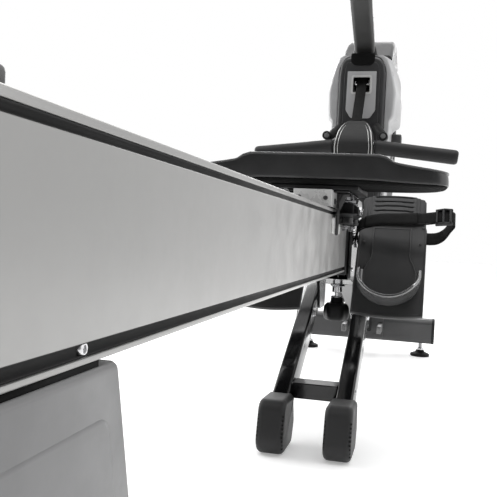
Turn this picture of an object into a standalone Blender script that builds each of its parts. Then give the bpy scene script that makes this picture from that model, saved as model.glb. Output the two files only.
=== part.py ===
"""Folding rowing machine, modelled as separate parts.

Metres, +Z up, +Y towards the flywheel, +X to the rower's right. The origin is on the
floor, under the middle of the whole machine. The rail and seat fold up about a cross
pin at the front end of the rail.
"""
import math

import bmesh
import bpy
from mathutils import Matrix, Vector

# ---------------------------------------------------------------- driving dimensions
GAP = 0.0003                    # clearance left between touching meshes

# Rail: an aluminium extrusion along Y with a roller groove near each long edge
RAIL_HALF = 0.031
RAIL_LOW, RAIL_TOP = 0.301, 0.411
RAIL_REAR, RAIL_FRONT = -1.12, 0.06
GROOVE_FLOOR = 0.0265
TOP_GROOVE = (0.401, 0.406)
LOW_GROOVE = (0.3045, 0.3110)
REAR_END = -1.14

# Fold hinge and the yoke that carries it
HINGE_Y, HINGE_Z = 0.23, 0.42
HINGE_PIN_R = 0.008
BLOCK_HALF, BLOCK_FRONT, BLOCK_LOW, BLOCK_TOP = 0.0325, 0.26, 0.295, 0.44
CHEEK_IN, CHEEK_OUT = 0.034, 0.040
YOKE_PLATE = (0.268, 0.284)
LOCK_Y = 0.236

# Rear support legs, inclined, with a rubber boot on each
LEG_IN, LEG_OUT = 0.0405, 0.0705
LEG_HEIGHT, LEG_WALL = 0.050, 0.0025
LEG_LOW = Vector((-0.098, 0.0425))
LEG_HIGH = Vector((0.300, 0.2615))
BOOT_HALF = 0.0235

# Spine, front stabiliser and feet
SPINE_HALF, SPINE_TALL = 0.025, 0.060
SPINE_REAR = Vector((0.3003, 0.325))
SPINE_FRONT = Vector((1.0297, 0.104))
STAB_HALF = 0.215
STAB_Y = (1.036, 1.094)
STAB_Z = (0.044, 0.122)
FOOT_X, FOOT_Y = 0.18, 1.078

# Drum, flywheel, strap rollers
DRUM_Y, DRUM_Z, DRUM_R, DRUM_HALF = 0.86, 0.66, 0.28, 0.066
DRUM_OPEN_Y = 0.665
SKIN = 0.0025
FLYWHEEL_R = 0.17
SPOOL_Y, SPOOL_Z, SPOOL_R = 0.605, 0.60, 0.022
IDLER_Y, IDLER_Z, IDLER_R = 0.565, 0.765, 0.014
PULLEY_R, SHEAVE_R = 0.045, 0.028
BELT_X = (0.040, 0.050)
STRAP_HALF, STRAP_THICK = 0.0125, 0.0016
FRAME_IN, FRAME_OUT = 0.0253, 0.0310

# Tower
TOWER_REAR, TOWER_FRONT, TOWER_LOW, TOWER_TOP, TOWER_HALF = 0.535, 0.66, 0.24, 0.829, 0.060
WINDOW_HALF, WINDOW_Z = 0.021, (0.735, 0.773)

# Console arm: it ends in a fork that holds the console's hinge knuckle
ARM_HALF, KNUCKLE_HALF = 0.0260, 0.0160
CONSOLE_HINGE = (0.2607, 1.0222)
ARM_END_WAY = Vector((0, -0.62, 0.785)).normalized()

# Handle
HANDLE_Y = 0.424
HANDLE_MID_Z, HANDLE_DROOP = 0.5893, 0.1095
BAR_R, GRIP_R, HANDLE_HALF = 0.011, 0.017, 0.240
POD_TOP = Vector((0.455, 0.650))

# Pedals: a board from heel to toe, with its own inclined axes
HEEL = Vector((0.04, 0.230))
TOE = Vector((0.20, 0.455))
PEDAL_X = (0.047, 0.1795)
PEDAL_MID = 0.1125
PEDAL_LONG = (TOE - HEEL).length
PEDAL_THICK = 0.010
TONGUE_HALF = 0.0375             # of the heel cup's tongue, which slides under the toe block
STRAP_AT = (0.1675, 0.1960)      # where the foot strap's edges cross the board

# Seat
SEAT_REAR, SEAT_FRONT, SEAT_HALF, SEAT_TOP, SEAT_LOW = -0.19, 0.072, 0.207, 0.495, 0.447
SEAT_LOW_Y, SEAT_FRONT_LOW = -0.10, 0.4535
CARRIAGE_Y = (-0.18, 0.03)
CARRIAGE_TOP = 0.4397
LOAD_R, GUIDE_R, GUIDE_X = 0.0115, 0.0195, 0.047
LOAD_Y = {"rear": -0.140, "front": -0.010}
GUIDE_Y = {"rear": -0.125, "front": -0.025}

# Axes of the drawing planes: local x, local y and extrusion direction in the world
SIDE_VIEW = ((0, 1, 0), (0, 0, 1), (1, 0, 0))
BACK_VIEW = ((1, 0, 0), (0, 0, 1), (0, -1, 0))
PLAN_VIEW = ((1, 0, 0), (0, 1, 0), (0, 0, 1))
PEDAL_UP = (TOE - HEEL) / PEDAL_LONG
PEDAL_VIEW = ((1, 0, 0), (0, PEDAL_UP.x, PEDAL_UP.y), (0, -PEDAL_UP.y, PEDAL_UP.x))

# Colours: base colour, roughness, metallic
BLACK_GLOSS = ((0.012, 0.012, 0.013), 0.18, 0.0)
BLACK_MATT = ((0.025, 0.025, 0.026), 0.55, 0.0)
CHARCOAL = ((0.045, 0.045, 0.047), 0.42, 0.0)
GREY = ((0.16, 0.16, 0.165), 0.45, 0.0)
SILVER = ((0.55, 0.55, 0.56), 0.35, 0.2)
ALUMINIUM = ((0.62, 0.61, 0.59), 0.38, 0.85)
STEEL = ((0.62, 0.62, 0.64), 0.25, 1.0)
RUBBER = ((0.02, 0.02, 0.02), 0.7, 0.0)


# ---------------------------------------------------------------- scene and placing
def clear_scene():
    for obj in list(bpy.data.objects):
        bpy.data.objects.remove(obj, do_unlink=True)


def make_collection(name):
    collection = bpy.data.collections.new(name)
    bpy.context.scene.collection.children.link(collection)
    return collection


clear_scene()
MODEL = make_collection("rowing_machine")
CUTTERS = make_collection("cutters")
PIVOTS = {}


def pivot(name, location, parent=None):
    """An empty on a joint's axis; the moving pieces hang from it."""
    empty = bpy.data.objects.new(name, None)
    MODEL.objects.link(empty)
    empty.location = location
    if parent:
        empty.parent = PIVOTS[parent]
        empty.location = Vector(location) - PIVOTS[parent].matrix_world.translation
    bpy.context.view_layer.update()
    PIVOTS[name] = empty


def make_material(name, look):
    colour, roughness, metallic = look
    material = bpy.data.materials.new(name)
    material.use_nodes = True
    shader = material.node_tree.nodes["Principled BSDF"]
    shader.inputs["Base Color"].default_value = (*colour, 1.0)
    shader.inputs["Roughness"].default_value = roughness
    shader.inputs["Metallic"].default_value = metallic
    return material


def part(obj, look, on=None):
    """Give a finished piece its material, shading and pivot."""
    obj.data.materials.clear()
    obj.data.materials.append(make_material(obj.name, look))
    obj.data.shade_smooth()
    obj.data.set_sharp_from_angle(angle=math.radians(35))
    if on:
        obj.parent = PIVOTS[on]
        obj.matrix_parent_inverse = PIVOTS[on].matrix_world.inverted()
    return obj


def as_cutter(obj):
    MODEL.objects.unlink(obj)
    CUTTERS.objects.link(obj)
    obj.hide_render = True
    obj.display_type = "WIRE"


def combine(target, other, operation):
    as_cutter(other)
    modifier = target.modifiers.new(f"{operation.lower()}_{other.name}", "BOOLEAN")
    modifier.object = other
    modifier.operation = operation
    modifier.solver = "EXACT"


def join(target, *others):
    for other in others:
        combine(target, other, "UNION")
    return target


def cut(target, *others):
    for other in others:
        combine(target, other, "DIFFERENCE")
    return target


def trim(target, other):
    combine(target, other, "INTERSECT")
    return target


# ---------------------------------------------------------------- shapes
def mesh_object(name, mesh_builder):
    mesh = bpy.data.meshes.new(name)
    shape = bmesh.new()
    mesh_builder(shape)
    bmesh.ops.recalc_face_normals(shape, faces=shape.faces)
    shape.to_mesh(mesh)
    shape.free()
    obj = bpy.data.objects.new(name, mesh)
    MODEL.objects.link(obj)
    return obj


def box(name, low, high, edge=0.0):
    """A block between two corners, with its edges rounded by `edge`."""
    low, high = Vector(map(min, low, high)), Vector(map(max, low, high))
    size = high - low

    def build(shape):
        bmesh.ops.create_cube(shape, size=1.0, matrix=Matrix.Diagonal((*size, 1.0)))

    obj = mesh_object(name, build)
    obj.location = (low + high) / 2
    if edge:
        bevel = obj.modifiers.new("rounded_edges", "BEVEL")
        bevel.width = edge
        bevel.segments = 2
    return obj


def rod(name, centre, axis, radius, length, sides=20):
    """A round bar, centred, along a world axis."""

    def build(shape):
        bmesh.ops.create_cone(
            shape, cap_ends=True, segments=sides, radius1=radius, radius2=radius, depth=length
        )

    obj = mesh_object(name, build)
    obj.rotation_euler = Vector(axis).to_track_quat("Z", "Y").to_euler()
    obj.location = centre
    return obj


def turned(name, profile, centre, axis, steps=32):
    """A closed (radius, height) profile turned about the given world axis."""
    pairs = list(zip(profile, profile[1:] + profile[:1]))
    runs_upwards = sum(a[0] * b[1] - b[0] * a[1] for a, b in pairs) > 0
    points = profile[::-1] if runs_upwards else profile

    def build(shape):
        ring = [shape.verts.new((radius, 0.0, height)) for radius, height in points]
        for first, second in zip(ring, ring[1:] + ring[:1]):
            shape.edges.new((first, second))

    obj = mesh_object(name, build)
    obj.rotation_euler = Vector(axis).to_track_quat("Z", "Y").to_euler()
    obj.location = centre
    screw = obj.modifiers.new("turn", "SCREW")
    screw.axis = "Z"
    screw.angle = math.tau
    screw.steps = steps
    screw.render_steps = steps
    screw.use_merge_vertices = True
    screw.merge_threshold = 0.00005
    return obj


def curve_to_mesh(obj):
    """Turn a curve object into a mesh object with welded caps."""
    bpy.context.view_layer.update()
    evaluated = obj.evaluated_get(bpy.context.evaluated_depsgraph_get())
    mesh = bpy.data.meshes.new_from_object(evaluated)
    shape = bmesh.new()
    shape.from_mesh(mesh)
    bmesh.ops.remove_doubles(shape, verts=shape.verts, dist=0.00002)
    bmesh.ops.recalc_face_normals(shape, faces=shape.faces)
    shape.to_mesh(mesh)
    shape.free()
    name, place, data = obj.name, obj.matrix_world.copy(), obj.data
    bpy.data.objects.remove(obj, do_unlink=True)
    bpy.data.curves.remove(data)
    mesh.name = name
    result = bpy.data.objects.new(name, mesh)
    MODEL.objects.link(result)
    result.matrix_world = place
    return result


def prism(name, outlines, view, start, end, origin=(0, 0, 0)):
    """Flat outlines (the first is the outside, others are holes) extruded from start to end
    along the view's third axis."""
    curve = bpy.data.curves.new(name, "CURVE")
    curve.dimensions = "2D"
    curve.fill_mode = "BOTH"
    curve.extrude = abs(end - start) / 2
    for outline in outlines:
        spline = curve.splines.new("POLY")
        spline.points.add(len(outline) - 1)
        for point, place in zip(spline.points, outline):
            point.co = (place[0], place[1], 0.0, 1.0)
        spline.use_cyclic_u = True
    obj = bpy.data.objects.new(name, curve)
    MODEL.objects.link(obj)
    across, up, out = (Vector(axis) for axis in view)
    turn = Matrix((across, up, out)).transposed().to_4x4()
    shift = Vector(origin) + out * ((start + end) / 2)
    obj.matrix_world = Matrix.Translation(shift) @ turn
    return curve_to_mesh(obj)


def bent_rod(name, points, radius, resolution=4):
    """A round bar along a list of world points."""
    curve = bpy.data.curves.new(name, "CURVE")
    curve.dimensions = "3D"
    curve.bevel_depth = radius
    curve.bevel_resolution = resolution
    curve.use_fill_caps = True
    spline = curve.splines.new("POLY")
    spline.points.add(len(points) - 1)
    for point, place in zip(spline.points, points):
        point.co = (*place, 1.0)
    obj = bpy.data.objects.new(name, curve)
    MODEL.objects.link(obj)
    return curve_to_mesh(obj)


# ---------------------------------------------------------------- outlines
def arc(centre, radius, start, end, count):
    """Points on an arc, angles in degrees, both ends included."""
    steps = [math.radians(start + (end - start) * i / count) for i in range(count + 1)]
    return [(centre[0] + radius * math.cos(a), centre[1] + radius * math.sin(a)) for a in steps]


def rounded(corners, count=3):
    """A polygon whose corners (x, y, fillet radius) are rounded; radius 0 stays sharp."""
    outline = []
    for index, (x, y, radius) in enumerate(corners):
        corner = Vector((x, y))
        if not radius:
            outline.append(tuple(corner))
            continue
        before = Vector(corners[index - 1][:2])
        after = Vector(corners[(index + 1) % len(corners)][:2])
        to_before = (before - corner).normalized()
        to_after = (after - corner).normalized()
        half = to_before.angle(to_after) / 2
        centre = corner + (to_before + to_after).normalized() * (radius / math.sin(half))
        first = corner + to_before * (radius / math.tan(half)) - centre
        last = corner + to_after * (radius / math.tan(half)) - centre
        sweep = math.pi - 2 * half
        if first.x * last.y - first.y * last.x < 0:
            sweep = -sweep
        for step in range(count + 1):
            turn = sweep * step / count
            along, across = math.cos(turn), math.sin(turn)
            spoke = Vector((first.x * along - first.y * across, first.x * across + first.y * along))
            outline.append(tuple(centre + spoke))
    return outline


def rectangle(low, high, radius=0.0, count=3):
    (x0, y0), (x1, y1) = low, high
    return rounded([(x0, y0, radius), (x1, y0, radius), (x1, y1, radius), (x0, y1, radius)], count)


def both_sides(half_outline):
    """A symmetric outline from the points of its +x half, listed bottom to top."""
    return list(half_outline) + [(-x, y) for x, y in reversed(half_outline)]


def ribbon(path, thickness):
    """The outline of a strip of even thickness along a path of (x, y) points."""
    points = [Vector(place) for place in path]
    left, right = [], []
    for index, point in enumerate(points):
        before = points[max(index - 1, 0)]
        after = points[min(index + 1, len(points) - 1)]
        normal = (after - before).normalized().orthogonal() * (thickness / 2)
        left.append(tuple(point + normal))
        right.append(tuple(point - normal))
    return left + right[::-1]


def smooth_path(knots, count):
    """Points of a Catmull-Rom curve through the knots."""
    places = [Vector(knot) for knot in knots]
    places = [places[0] * 2 - places[1], *places, places[-1] * 2 - places[-2]]
    path = []
    for a, b, c, d in zip(places, places[1:], places[2:], places[3:]):
        for step in range(count):
            t = step / count
            path.append(
                0.5 * (2 * b + (c - a) * t + (2 * a - 5 * b + 4 * c - d) * t**2
                       + (3 * b - a - 3 * c + d) * t**3)
            )
    return path + [places[-2]]


def incline(start, end, height):
    """The side outline of a straight bar from start to end with vertical ends."""
    slope = (end - start).normalized()
    rise = height / 2 / slope.x
    return [
        (start.x, start.y - rise), (end.x, end.y - rise),
        (end.x, end.y + rise), (start.x, start.y + rise),
    ]


SIDES = {"left": -1, "right": 1}

# ---------------------------------------------------------------- pivots
PULL_SLOPE = math.radians(12)
pivot("fold_axis", (0, HINGE_Y, HINGE_Z))
pivot("seat_travel", (0, -0.06, RAIL_TOP), "fold_axis")
pivot("handle_pull", (0, HANDLE_Y, HANDLE_MID_Z))
pivot("console_tilt", (0, *CONSOLE_HINGE))


# ---------------------------------------------------------------- rail unit
def build_rail():
    groove_steps = [
        (RAIL_HALF, RAIL_LOW), (RAIL_HALF, LOW_GROOVE[0]),
        (GROOVE_FLOOR, LOW_GROOVE[0]), (GROOVE_FLOOR, LOW_GROOVE[1]),
        (RAIL_HALF, LOW_GROOVE[1]), (RAIL_HALF, TOP_GROOVE[0]),
        (GROOVE_FLOOR, TOP_GROOVE[0]), (GROOVE_FLOOR, TOP_GROOVE[1]),
        (RAIL_HALF, TOP_GROOVE[1]), (RAIL_HALF, RAIL_TOP),
    ]
    hollow = [
        (0.0235, 0.3035), (0.0235, 0.3140), (0.028, 0.3140),
        (0.028, 0.398), (0.0235, 0.398), (0.0235, 0.408),
    ]
    beam = prism(
        "rail_beam", [both_sides(groove_steps), both_sides(hollow)],
        BACK_VIEW, -RAIL_REAR, -(RAIL_FRONT - GAP),
    )
    part(beam, ALUMINIUM, "fold_axis")

    cap = box("rail_end_cap", (-0.033, REAR_END, 0.2985), (0.033, RAIL_REAR - GAP, 0.4135), 0.004)
    part(cap, BLACK_MATT, "fold_axis")

    stop = box("rear_stop", (-0.012, -1.09, RAIL_TOP + GAP), (0.012, -1.05, 0.4245), 0.005)
    part(stop, RUBBER, "fold_axis")


def build_hinge_block():
    outline = rounded([
        (RAIL_FRONT, BLOCK_LOW, 0.004), (BLOCK_FRONT, BLOCK_LOW, 0.012),
        (BLOCK_FRONT, BLOCK_TOP, 0.022), (RAIL_FRONT, BLOCK_TOP, 0.012),
    ])
    block = prism("rail_hinge_block", [outline], SIDE_VIEW, -BLOCK_HALF, BLOCK_HALF)
    tongue = box("hinge_block_tongue", (-0.0225, -0.02, 0.315), (0.0225, 0.07, 0.395))
    join(block, tongue)
    bore = rod("hinge_block_bore", (0, HINGE_Y, HINGE_Z), (1, 0, 0), HINGE_PIN_R + 0.0005, 0.1)
    socket = rod("lock_socket", (0, LOCK_Y, BLOCK_LOW), (0, 0, 1), 0.0065, 0.04, 16)
    cut(block, bore, socket)
    part(block, BLACK_MATT, "fold_axis")


def build_rear_leg():
    outline = rounded([
        (-1.040, 0.060, 0.006), (-0.900, 0.060, 0.006), (-0.972, 0.298, 0.008),
        (-1.125, 0.298, 0.006),
    ])
    leg = prism("rear_leg", [outline], SIDE_VIEW, -RAIL_HALF, RAIL_HALF)
    seat = box("rear_leg_head", (-0.020, -1.10, 0.29), (0.020, -1.00, RAIL_LOW - GAP))
    join(leg, seat)
    part(leg, GREY, "fold_axis")

    outline = rounded([
        (-1.008, 0.0, 0.006), (-0.932, 0.0, 0.006), (-0.932, 0.0597, 0.012),
        (-1.008, 0.0597, 0.012),
    ])
    bar = prism("rear_foot_bar", [outline], SIDE_VIEW, -0.205, 0.205)
    part(bar, BLACK_MATT, "fold_axis")


# ---------------------------------------------------------------- seat unit
def build_seat():
    half_section = [
        (0.198, 0.440), (SEAT_HALF, 0.450), (0.2065, 0.4690), (0.2045, 0.4715),
        (0.1624, 0.477), (0.1240, 0.4832), (0.1190, 0.4850), (0.1080, SEAT_TOP),
    ]
    cushion = prism(
        "seat_cushion", [both_sides(half_section)], BACK_VIEW, -SEAT_REAR, -SEAT_FRONT
    )
    half_plan = [
        (0.165, SEAT_REAR), (0.195, -0.183), (0.206, -0.165), (0.2065, -0.110),
        (0.194, -0.030), (0.172, 0.025), (0.140, 0.058), (0.095, SEAT_FRONT),
    ]
    trim(cushion, prism("seat_plan", [both_sides(half_plan)], PLAN_VIEW, 0.40, 0.60))
    side_profile = [
        (SEAT_REAR - 0.01, SEAT_LOW), (SEAT_LOW_Y, SEAT_LOW), (SEAT_FRONT, SEAT_FRONT_LOW),
        (SEAT_FRONT + 0.01, SEAT_FRONT_LOW), (SEAT_FRONT + 0.01, 0.60), (SEAT_REAR - 0.01, 0.60),
    ]
    trim(cushion, prism("seat_side_profile", [side_profile], SIDE_VIEW, -0.3, 0.3))
    part(cushion, CHARCOAL, "seat_travel")

    pan_rear, pan_front = -0.172, 0.022
    climb = (SEAT_FRONT_LOW - SEAT_LOW) / (SEAT_FRONT - SEAT_LOW_Y)
    pan_profile = [
        (pan_rear, CARRIAGE_TOP + GAP), (pan_front, CARRIAGE_TOP + GAP),
        (pan_front, SEAT_LOW - GAP + climb * (pan_front - SEAT_LOW_Y)),
        (SEAT_LOW_Y, SEAT_LOW - GAP), (pan_rear, SEAT_LOW - GAP),
    ]
    pan = prism("seat_pan", [pan_profile], SIDE_VIEW, -0.070, 0.070)
    part(pan, BLACK_MATT, "seat_travel")


def build_carriage():
    rear, front = CARRIAGE_Y
    low = RAIL_TOP + 0.002
    body = box("seat_carriage", (-0.0305, rear, low), (0.0305, front, CARRIAGE_TOP))
    hollow = box(
        "carriage_hollow", (-0.0270, rear + 0.003, low - 0.01), (0.0270, front - 0.003, 0.4363)
    )
    cut(body, hollow)
    wings = box("carriage_wings", (-0.068, rear + 0.02, 0.4365), (0.068, front - 0.02, CARRIAGE_TOP))
    join(body, wings)
    for end, y in LOAD_Y.items():
        axle = rod(
            f"load_axle_{end}", (0, y, RAIL_TOP + GAP + LOAD_R), (1, 0, 0), 0.003, 0.0605, 12
        )
        join(body, axle)
    for side, sign in SIDES.items():
        for end, y in GUIDE_Y.items():
            stud = turned(
                f"guide_stud_{end}_{side}",
                [(0, 0.438), (0.004, 0.438), (0.004, 0.3845), (0.0075, 0.3845),
                 (0.0075, 0.380), (0, 0.380)],
                (sign * GUIDE_X, y, 0), (0, 0, 1), 12,
            )
            join(body, stud)
    part(body, STEEL, "seat_travel")

    for end, y in LOAD_Y.items():
        roller = turned(
            f"load_roller_{end}",
            [(0.0034, 0.0255), (LOAD_R, 0.0255), (LOAD_R, -0.0255), (0.0034, -0.0255)],
            (0, y, RAIL_TOP + GAP + LOAD_R), (1, 0, 0), 20,
        )
        part(roller, BLACK_MATT, "seat_travel")

    groove_mid = sum(TOP_GROOVE) / 2
    for side, sign in SIDES.items():
        for end, y in GUIDE_Y.items():
            roller = turned(
                f"guide_roller_{end}_{side}",
                [(0.0044, 0.0185), (0.0135, 0.0185), (0.0135, 0.0017), (GUIDE_R, 0.0017),
                 (GUIDE_R, -0.0017), (0.0135, -0.0017), (0.0135, -0.0175), (0.0044, -0.0175)],
                (sign * GUIDE_X, y, groove_mid), (0, 0, 1), 16,
            )
            part(roller, BLACK_MATT, "seat_travel")


# ---------------------------------------------------------------- base frame
def build_legs():
    slope = (LEG_HIGH - LEG_LOW).normalized()
    across = Vector((-slope.y, slope.x))
    long = (LEG_HIGH - LEG_LOW).length
    outer = rectangle((LEG_IN, -LEG_HEIGHT / 2), (LEG_OUT, LEG_HEIGHT / 2), 0.003, 2)
    inner = rectangle(
        (LEG_IN + LEG_WALL, LEG_WALL - LEG_HEIGHT / 2),
        (LEG_OUT - LEG_WALL, LEG_HEIGHT / 2 - LEG_WALL),
    )
    boot_outline = rounded([
        (-0.162, 0.0, 0.024), (-0.058, 0.0, 0.016), (-0.040, 0.038, 0.012),
        (-0.058, 0.0885, 0.004), (-0.143, 0.0915, 0.022),
    ])
    leg_view = ((1, 0, 0), (0, across.x, across.y), (0, -slope.x, -slope.y))
    low_end = (0, LEG_LOW.x, LEG_LOW.y)
    for side, sign in SIDES.items():
        tube = prism(
            f"leg_tube_{side}",
            [[(sign * x, y) for x, y in outer], [(sign * x, y) for x, y in inner]],
            leg_view, 0.0, -long, low_end,
        )
        part(tube, BLACK_GLOSS)
        mid = sign * (LEG_IN + LEG_OUT) / 2
        boot = prism(
            f"leg_boot_{side}", [boot_outline], SIDE_VIEW, mid - BOOT_HALF, mid + BOOT_HALF
        )
        pocket = rectangle(
            (LEG_IN - GAP, -LEG_HEIGHT / 2 - GAP), (LEG_OUT + GAP, LEG_HEIGHT / 2 + GAP)
        )
        clearance = prism(
            f"boot_pocket_{side}", [[(sign * x, y) for x, y in pocket]],
            leg_view, GAP, -0.15, low_end,
        )
        cut(boot, clearance)
        part(boot, RUBBER)

    brace = box("leg_brace", (-0.0402, -0.043, 0.076), (0.0402, 0.002, 0.104))
    part(brace, BLACK_GLOSS)


def build_yoke():
    cheek = rounded([
        (0.092, 0.286, 0.012), (0.205, YOKE_PLATE[0], 0.010), (0.226, 0.212, 0.012),
        (0.300, 0.212, 0.010), (0.300, 0.380, 0.020), (0.270, 0.445, 0.018),
        (0.190, 0.445, 0.018), (0.092, 0.400, 0.016),
    ], 2)
    yoke = prism("hinge_yoke", [cheek], SIDE_VIEW, -CHEEK_OUT, CHEEK_OUT)
    space = box("yoke_space", (-CHEEK_IN, 0.0, YOKE_PLATE[1]), (CHEEK_IN, 0.294, 0.6))
    below = box("yoke_below", (-CHEEK_IN, 0.0, 0.1), (CHEEK_IN, 0.6, YOKE_PLATE[0]))
    front = box("yoke_front", (-CHEEK_IN, 0.28, 0.372), (CHEEK_IN, 0.35, 0.6))
    cut(yoke, space, below, front)
    sleeve = rod("lock_sleeve", (0, LOCK_Y, 0.262), (0, 0, 1), 0.010, 0.024, 20)
    join(yoke, sleeve)
    for side, sign in SIDES.items():
        stub = rod(
            f"pedal_stub_{side}", (sign * 0.1065, 0.1715, 0.362), (1, 0, 0), 0.010, 0.137, 12
        )
        join(yoke, stub)
    lock_bore = rod("lock_bore", (0, LOCK_Y, 0.265), (0, 0, 1), 0.0056, 0.06, 16)
    hinge_bore = rod("yoke_bore", (0, HINGE_Y, HINGE_Z), (1, 0, 0), HINGE_PIN_R + 0.0005, 0.12)
    cut(yoke, lock_bore, hinge_bore)
    part(yoke, BLACK_GLOSS)

    head = CHEEK_OUT + GAP
    pin = turned(
        "hinge_pin",
        [(0, -head - 0.0045), (0, head + 0.0045), (0.0125, head + 0.0045), (0.0125, head),
         (HINGE_PIN_R, head), (HINGE_PIN_R, -head), (0.0125, -head), (0.0125, -head - 0.0045)],
        (0, HINGE_Y, HINGE_Z), (1, 0, 0), 16,
    )
    part(pin, STEEL)

    def lobed(count):
        for step in range(count):
            angle = math.tau * step / count
            radius = 0.0275 - 0.0022 * (1 - math.cos(6 * angle))
            yield radius * math.cos(angle), radius * math.sin(angle) + LOCK_Y

    knob = prism("lock_knob", [list(lobed(36))], PLAN_VIEW, 0.189, 0.226)
    shaft = rod("lock_shaft", (0, LOCK_Y, 0.256), (0, 0, 1), 0.005, 0.066, 12)
    collar = rod("lock_collar", (0, LOCK_Y, 0.229), (0, 0, 1), 0.013, 0.02, 20)
    join(knob, collar, shaft)
    part(knob, BLACK_MATT)


def build_spine():
    spine = prism(
        "spine_tube", [incline(SPINE_REAR, SPINE_FRONT, SPINE_TALL)],
        SIDE_VIEW, -SPINE_HALF, SPINE_HALF,
    )
    reach = (SPINE_FRONT - SPINE_REAR) * 0.05
    hollow = prism(
        "spine_hollow",
        [incline(SPINE_REAR - reach, SPINE_FRONT + reach, SPINE_TALL - 0.005)],
        SIDE_VIEW, -SPINE_HALF + 0.0025, SPINE_HALF - 0.0025,
    )
    cut(spine, hollow)
    part(spine, BLACK_GLOSS)

    plate_y = (1.030, STAB_Y[0] - GAP)
    bracket = box("stabiliser_bracket", (-0.062, plate_y[0], 0.052), (0.062, plate_y[1], 0.132))
    for side, sign in SIDES.items():
        post = box(
            f"bracket_post_{side}", (sign * 0.048, 0.935, 0.078), (sign * 0.060, 1.032, 0.100)
        )
        join(bracket, post)
    part(bracket, GREY)

    section = rectangle((STAB_Y[0], STAB_Z[0]), (STAB_Y[1], STAB_Z[1]), 0.018, 4)
    inner = rectangle(
        (STAB_Y[0] + 0.0025, STAB_Z[0] + 0.0025), (STAB_Y[1] - 0.0025, STAB_Z[1] - 0.0025), 0.0155, 4
    )
    beam = prism("front_stabiliser", [section, inner], SIDE_VIEW, -STAB_HALF, STAB_HALF)
    part(beam, CHARCOAL)
    grown = rectangle(
        (STAB_Y[0] - 0.001, STAB_Z[0] - 0.001), (STAB_Y[1] + 0.001, STAB_Z[1] + 0.001), 0.019, 4
    )
    for side, sign in SIDES.items():
        cap = prism(
            f"stabiliser_cap_{side}", [grown], SIDE_VIEW,
            sign * (STAB_HALF + GAP), sign * (STAB_HALF + 0.0065),
        )
        part(cap, BLACK_MATT)
        foot = turned(
            f"levelling_foot_{side}",
            [(0, STAB_Z[0] - GAP), (0.007, STAB_Z[0] - GAP), (0.007, 0.020), (0.014, 0.016),
             (0.030, 0.008), (0.030, 0.0), (0, 0.0)],
            (sign * FOOT_X, FOOT_Y, 0), (0, 0, 1), 20,
        )
        part(foot, RUBBER)
        wheel = turned(
            f"transport_wheel_{side}",
            [(0.0042, 0.011), (0.018, 0.011), (0.022, 0.007), (0.022, -0.007),
             (0.018, -0.011), (0.0042, -0.011)],
            (sign * 0.10, 1.1170, 0.068), (1, 0, 0), 20,
        )
        part(wheel, RUBBER)
        fork = box(
            f"wheel_fork_{side}", (sign * 0.1125, 1.090, 0.060), (sign * 0.1165, 1.126, 0.076)
        )
        axle = rod(f"wheel_axle_{side}", (sign * 0.1025, 1.1170, 0.068), (1, 0, 0), 0.0038, 0.028, 12)
        join(beam, fork, axle)


# ---------------------------------------------------------------- drive
def build_drive_frame():
    outline = rounded([
        (0.556, 0.212, 0.006), (0.640, 0.190, 0.006), (0.640, 0.545, 0.030),
        (0.885, 0.600, 0.030), (0.905, 0.660, 0.020), (0.885, 0.710, 0.030),
        (0.665, 0.735, 0.030), (0.640, 0.815, 0.012), (0.556, 0.815, 0.012),
    ], 2)
    frame = prism("drive_frame", [outline], SIDE_VIEW, -FRAME_OUT, FRAME_OUT)
    space = box("drive_frame_space", (-FRAME_IN, 0.4, 0.1), (FRAME_IN, 1.0, 0.9))
    cut(frame, space)
    for name, y, z, radius in (
        ("low_spacer", 0.598, 0.300, 0.008), ("mid_spacer", 0.598, 0.460, 0.008),
        ("high_spacer", 0.630, 0.800, 0.006), ("idler_axle", IDLER_Y, IDLER_Z, 0.005),
    ):
        join(frame, rod(name, (0, y, z), (1, 0, 0), radius, 0.058, 12))
    axle_bore = rod("axle_bore", (0, DRUM_Y, DRUM_Z), (1, 0, 0), 0.0190, 0.1, 20)
    spool_bore = rod("spool_bore", (0, SPOOL_Y, SPOOL_Z), (1, 0, 0), 0.0082, 0.1, 16)
    cut(frame, axle_bore, spool_bore)
    part(frame, GREY)


def build_flywheel():
    rim, web, hub = 0.012, 0.003, 0.0180
    wheel = turned(
        "flywheel",
        [(0.0104, 0.052), (SHEAVE_R, 0.052), (SHEAVE_R, 0.038), (hub, 0.038), (hub, web),
         (0.145, web), (0.145, rim), (FLYWHEEL_R, rim), (FLYWHEEL_R, -rim), (0.145, -rim),
         (0.145, -web), (hub, -web), (hub, -0.033), (0.0104, -0.033)],
        (0, DRUM_Y, DRUM_Z), (1, 0, 0), 32,
    )
    part(wheel, STEEL)
    axle = turned(
        "flywheel_axle",
        [(0, -0.060), (0, 0.060), (0.0100, 0.060), (0.0100, -0.0335), (0.0210, -0.0335),
         (0.0210, -0.060)],
        (0, DRUM_Y, DRUM_Z), (1, 0, 0), 24,
    )
    part(axle, STEEL)
    shoe_outer = arc((DRUM_Y, DRUM_Z), FLYWHEEL_R + 0.012, 168, 192, 8)
    shoe_inner = arc((DRUM_Y, DRUM_Z), FLYWHEEL_R + 0.004, 192, 168, 8)
    shoe = prism("magnet_bracket", [shoe_outer + shoe_inner], SIDE_VIEW, -0.0250, 0.0250)
    part(shoe, STEEL)


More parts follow.
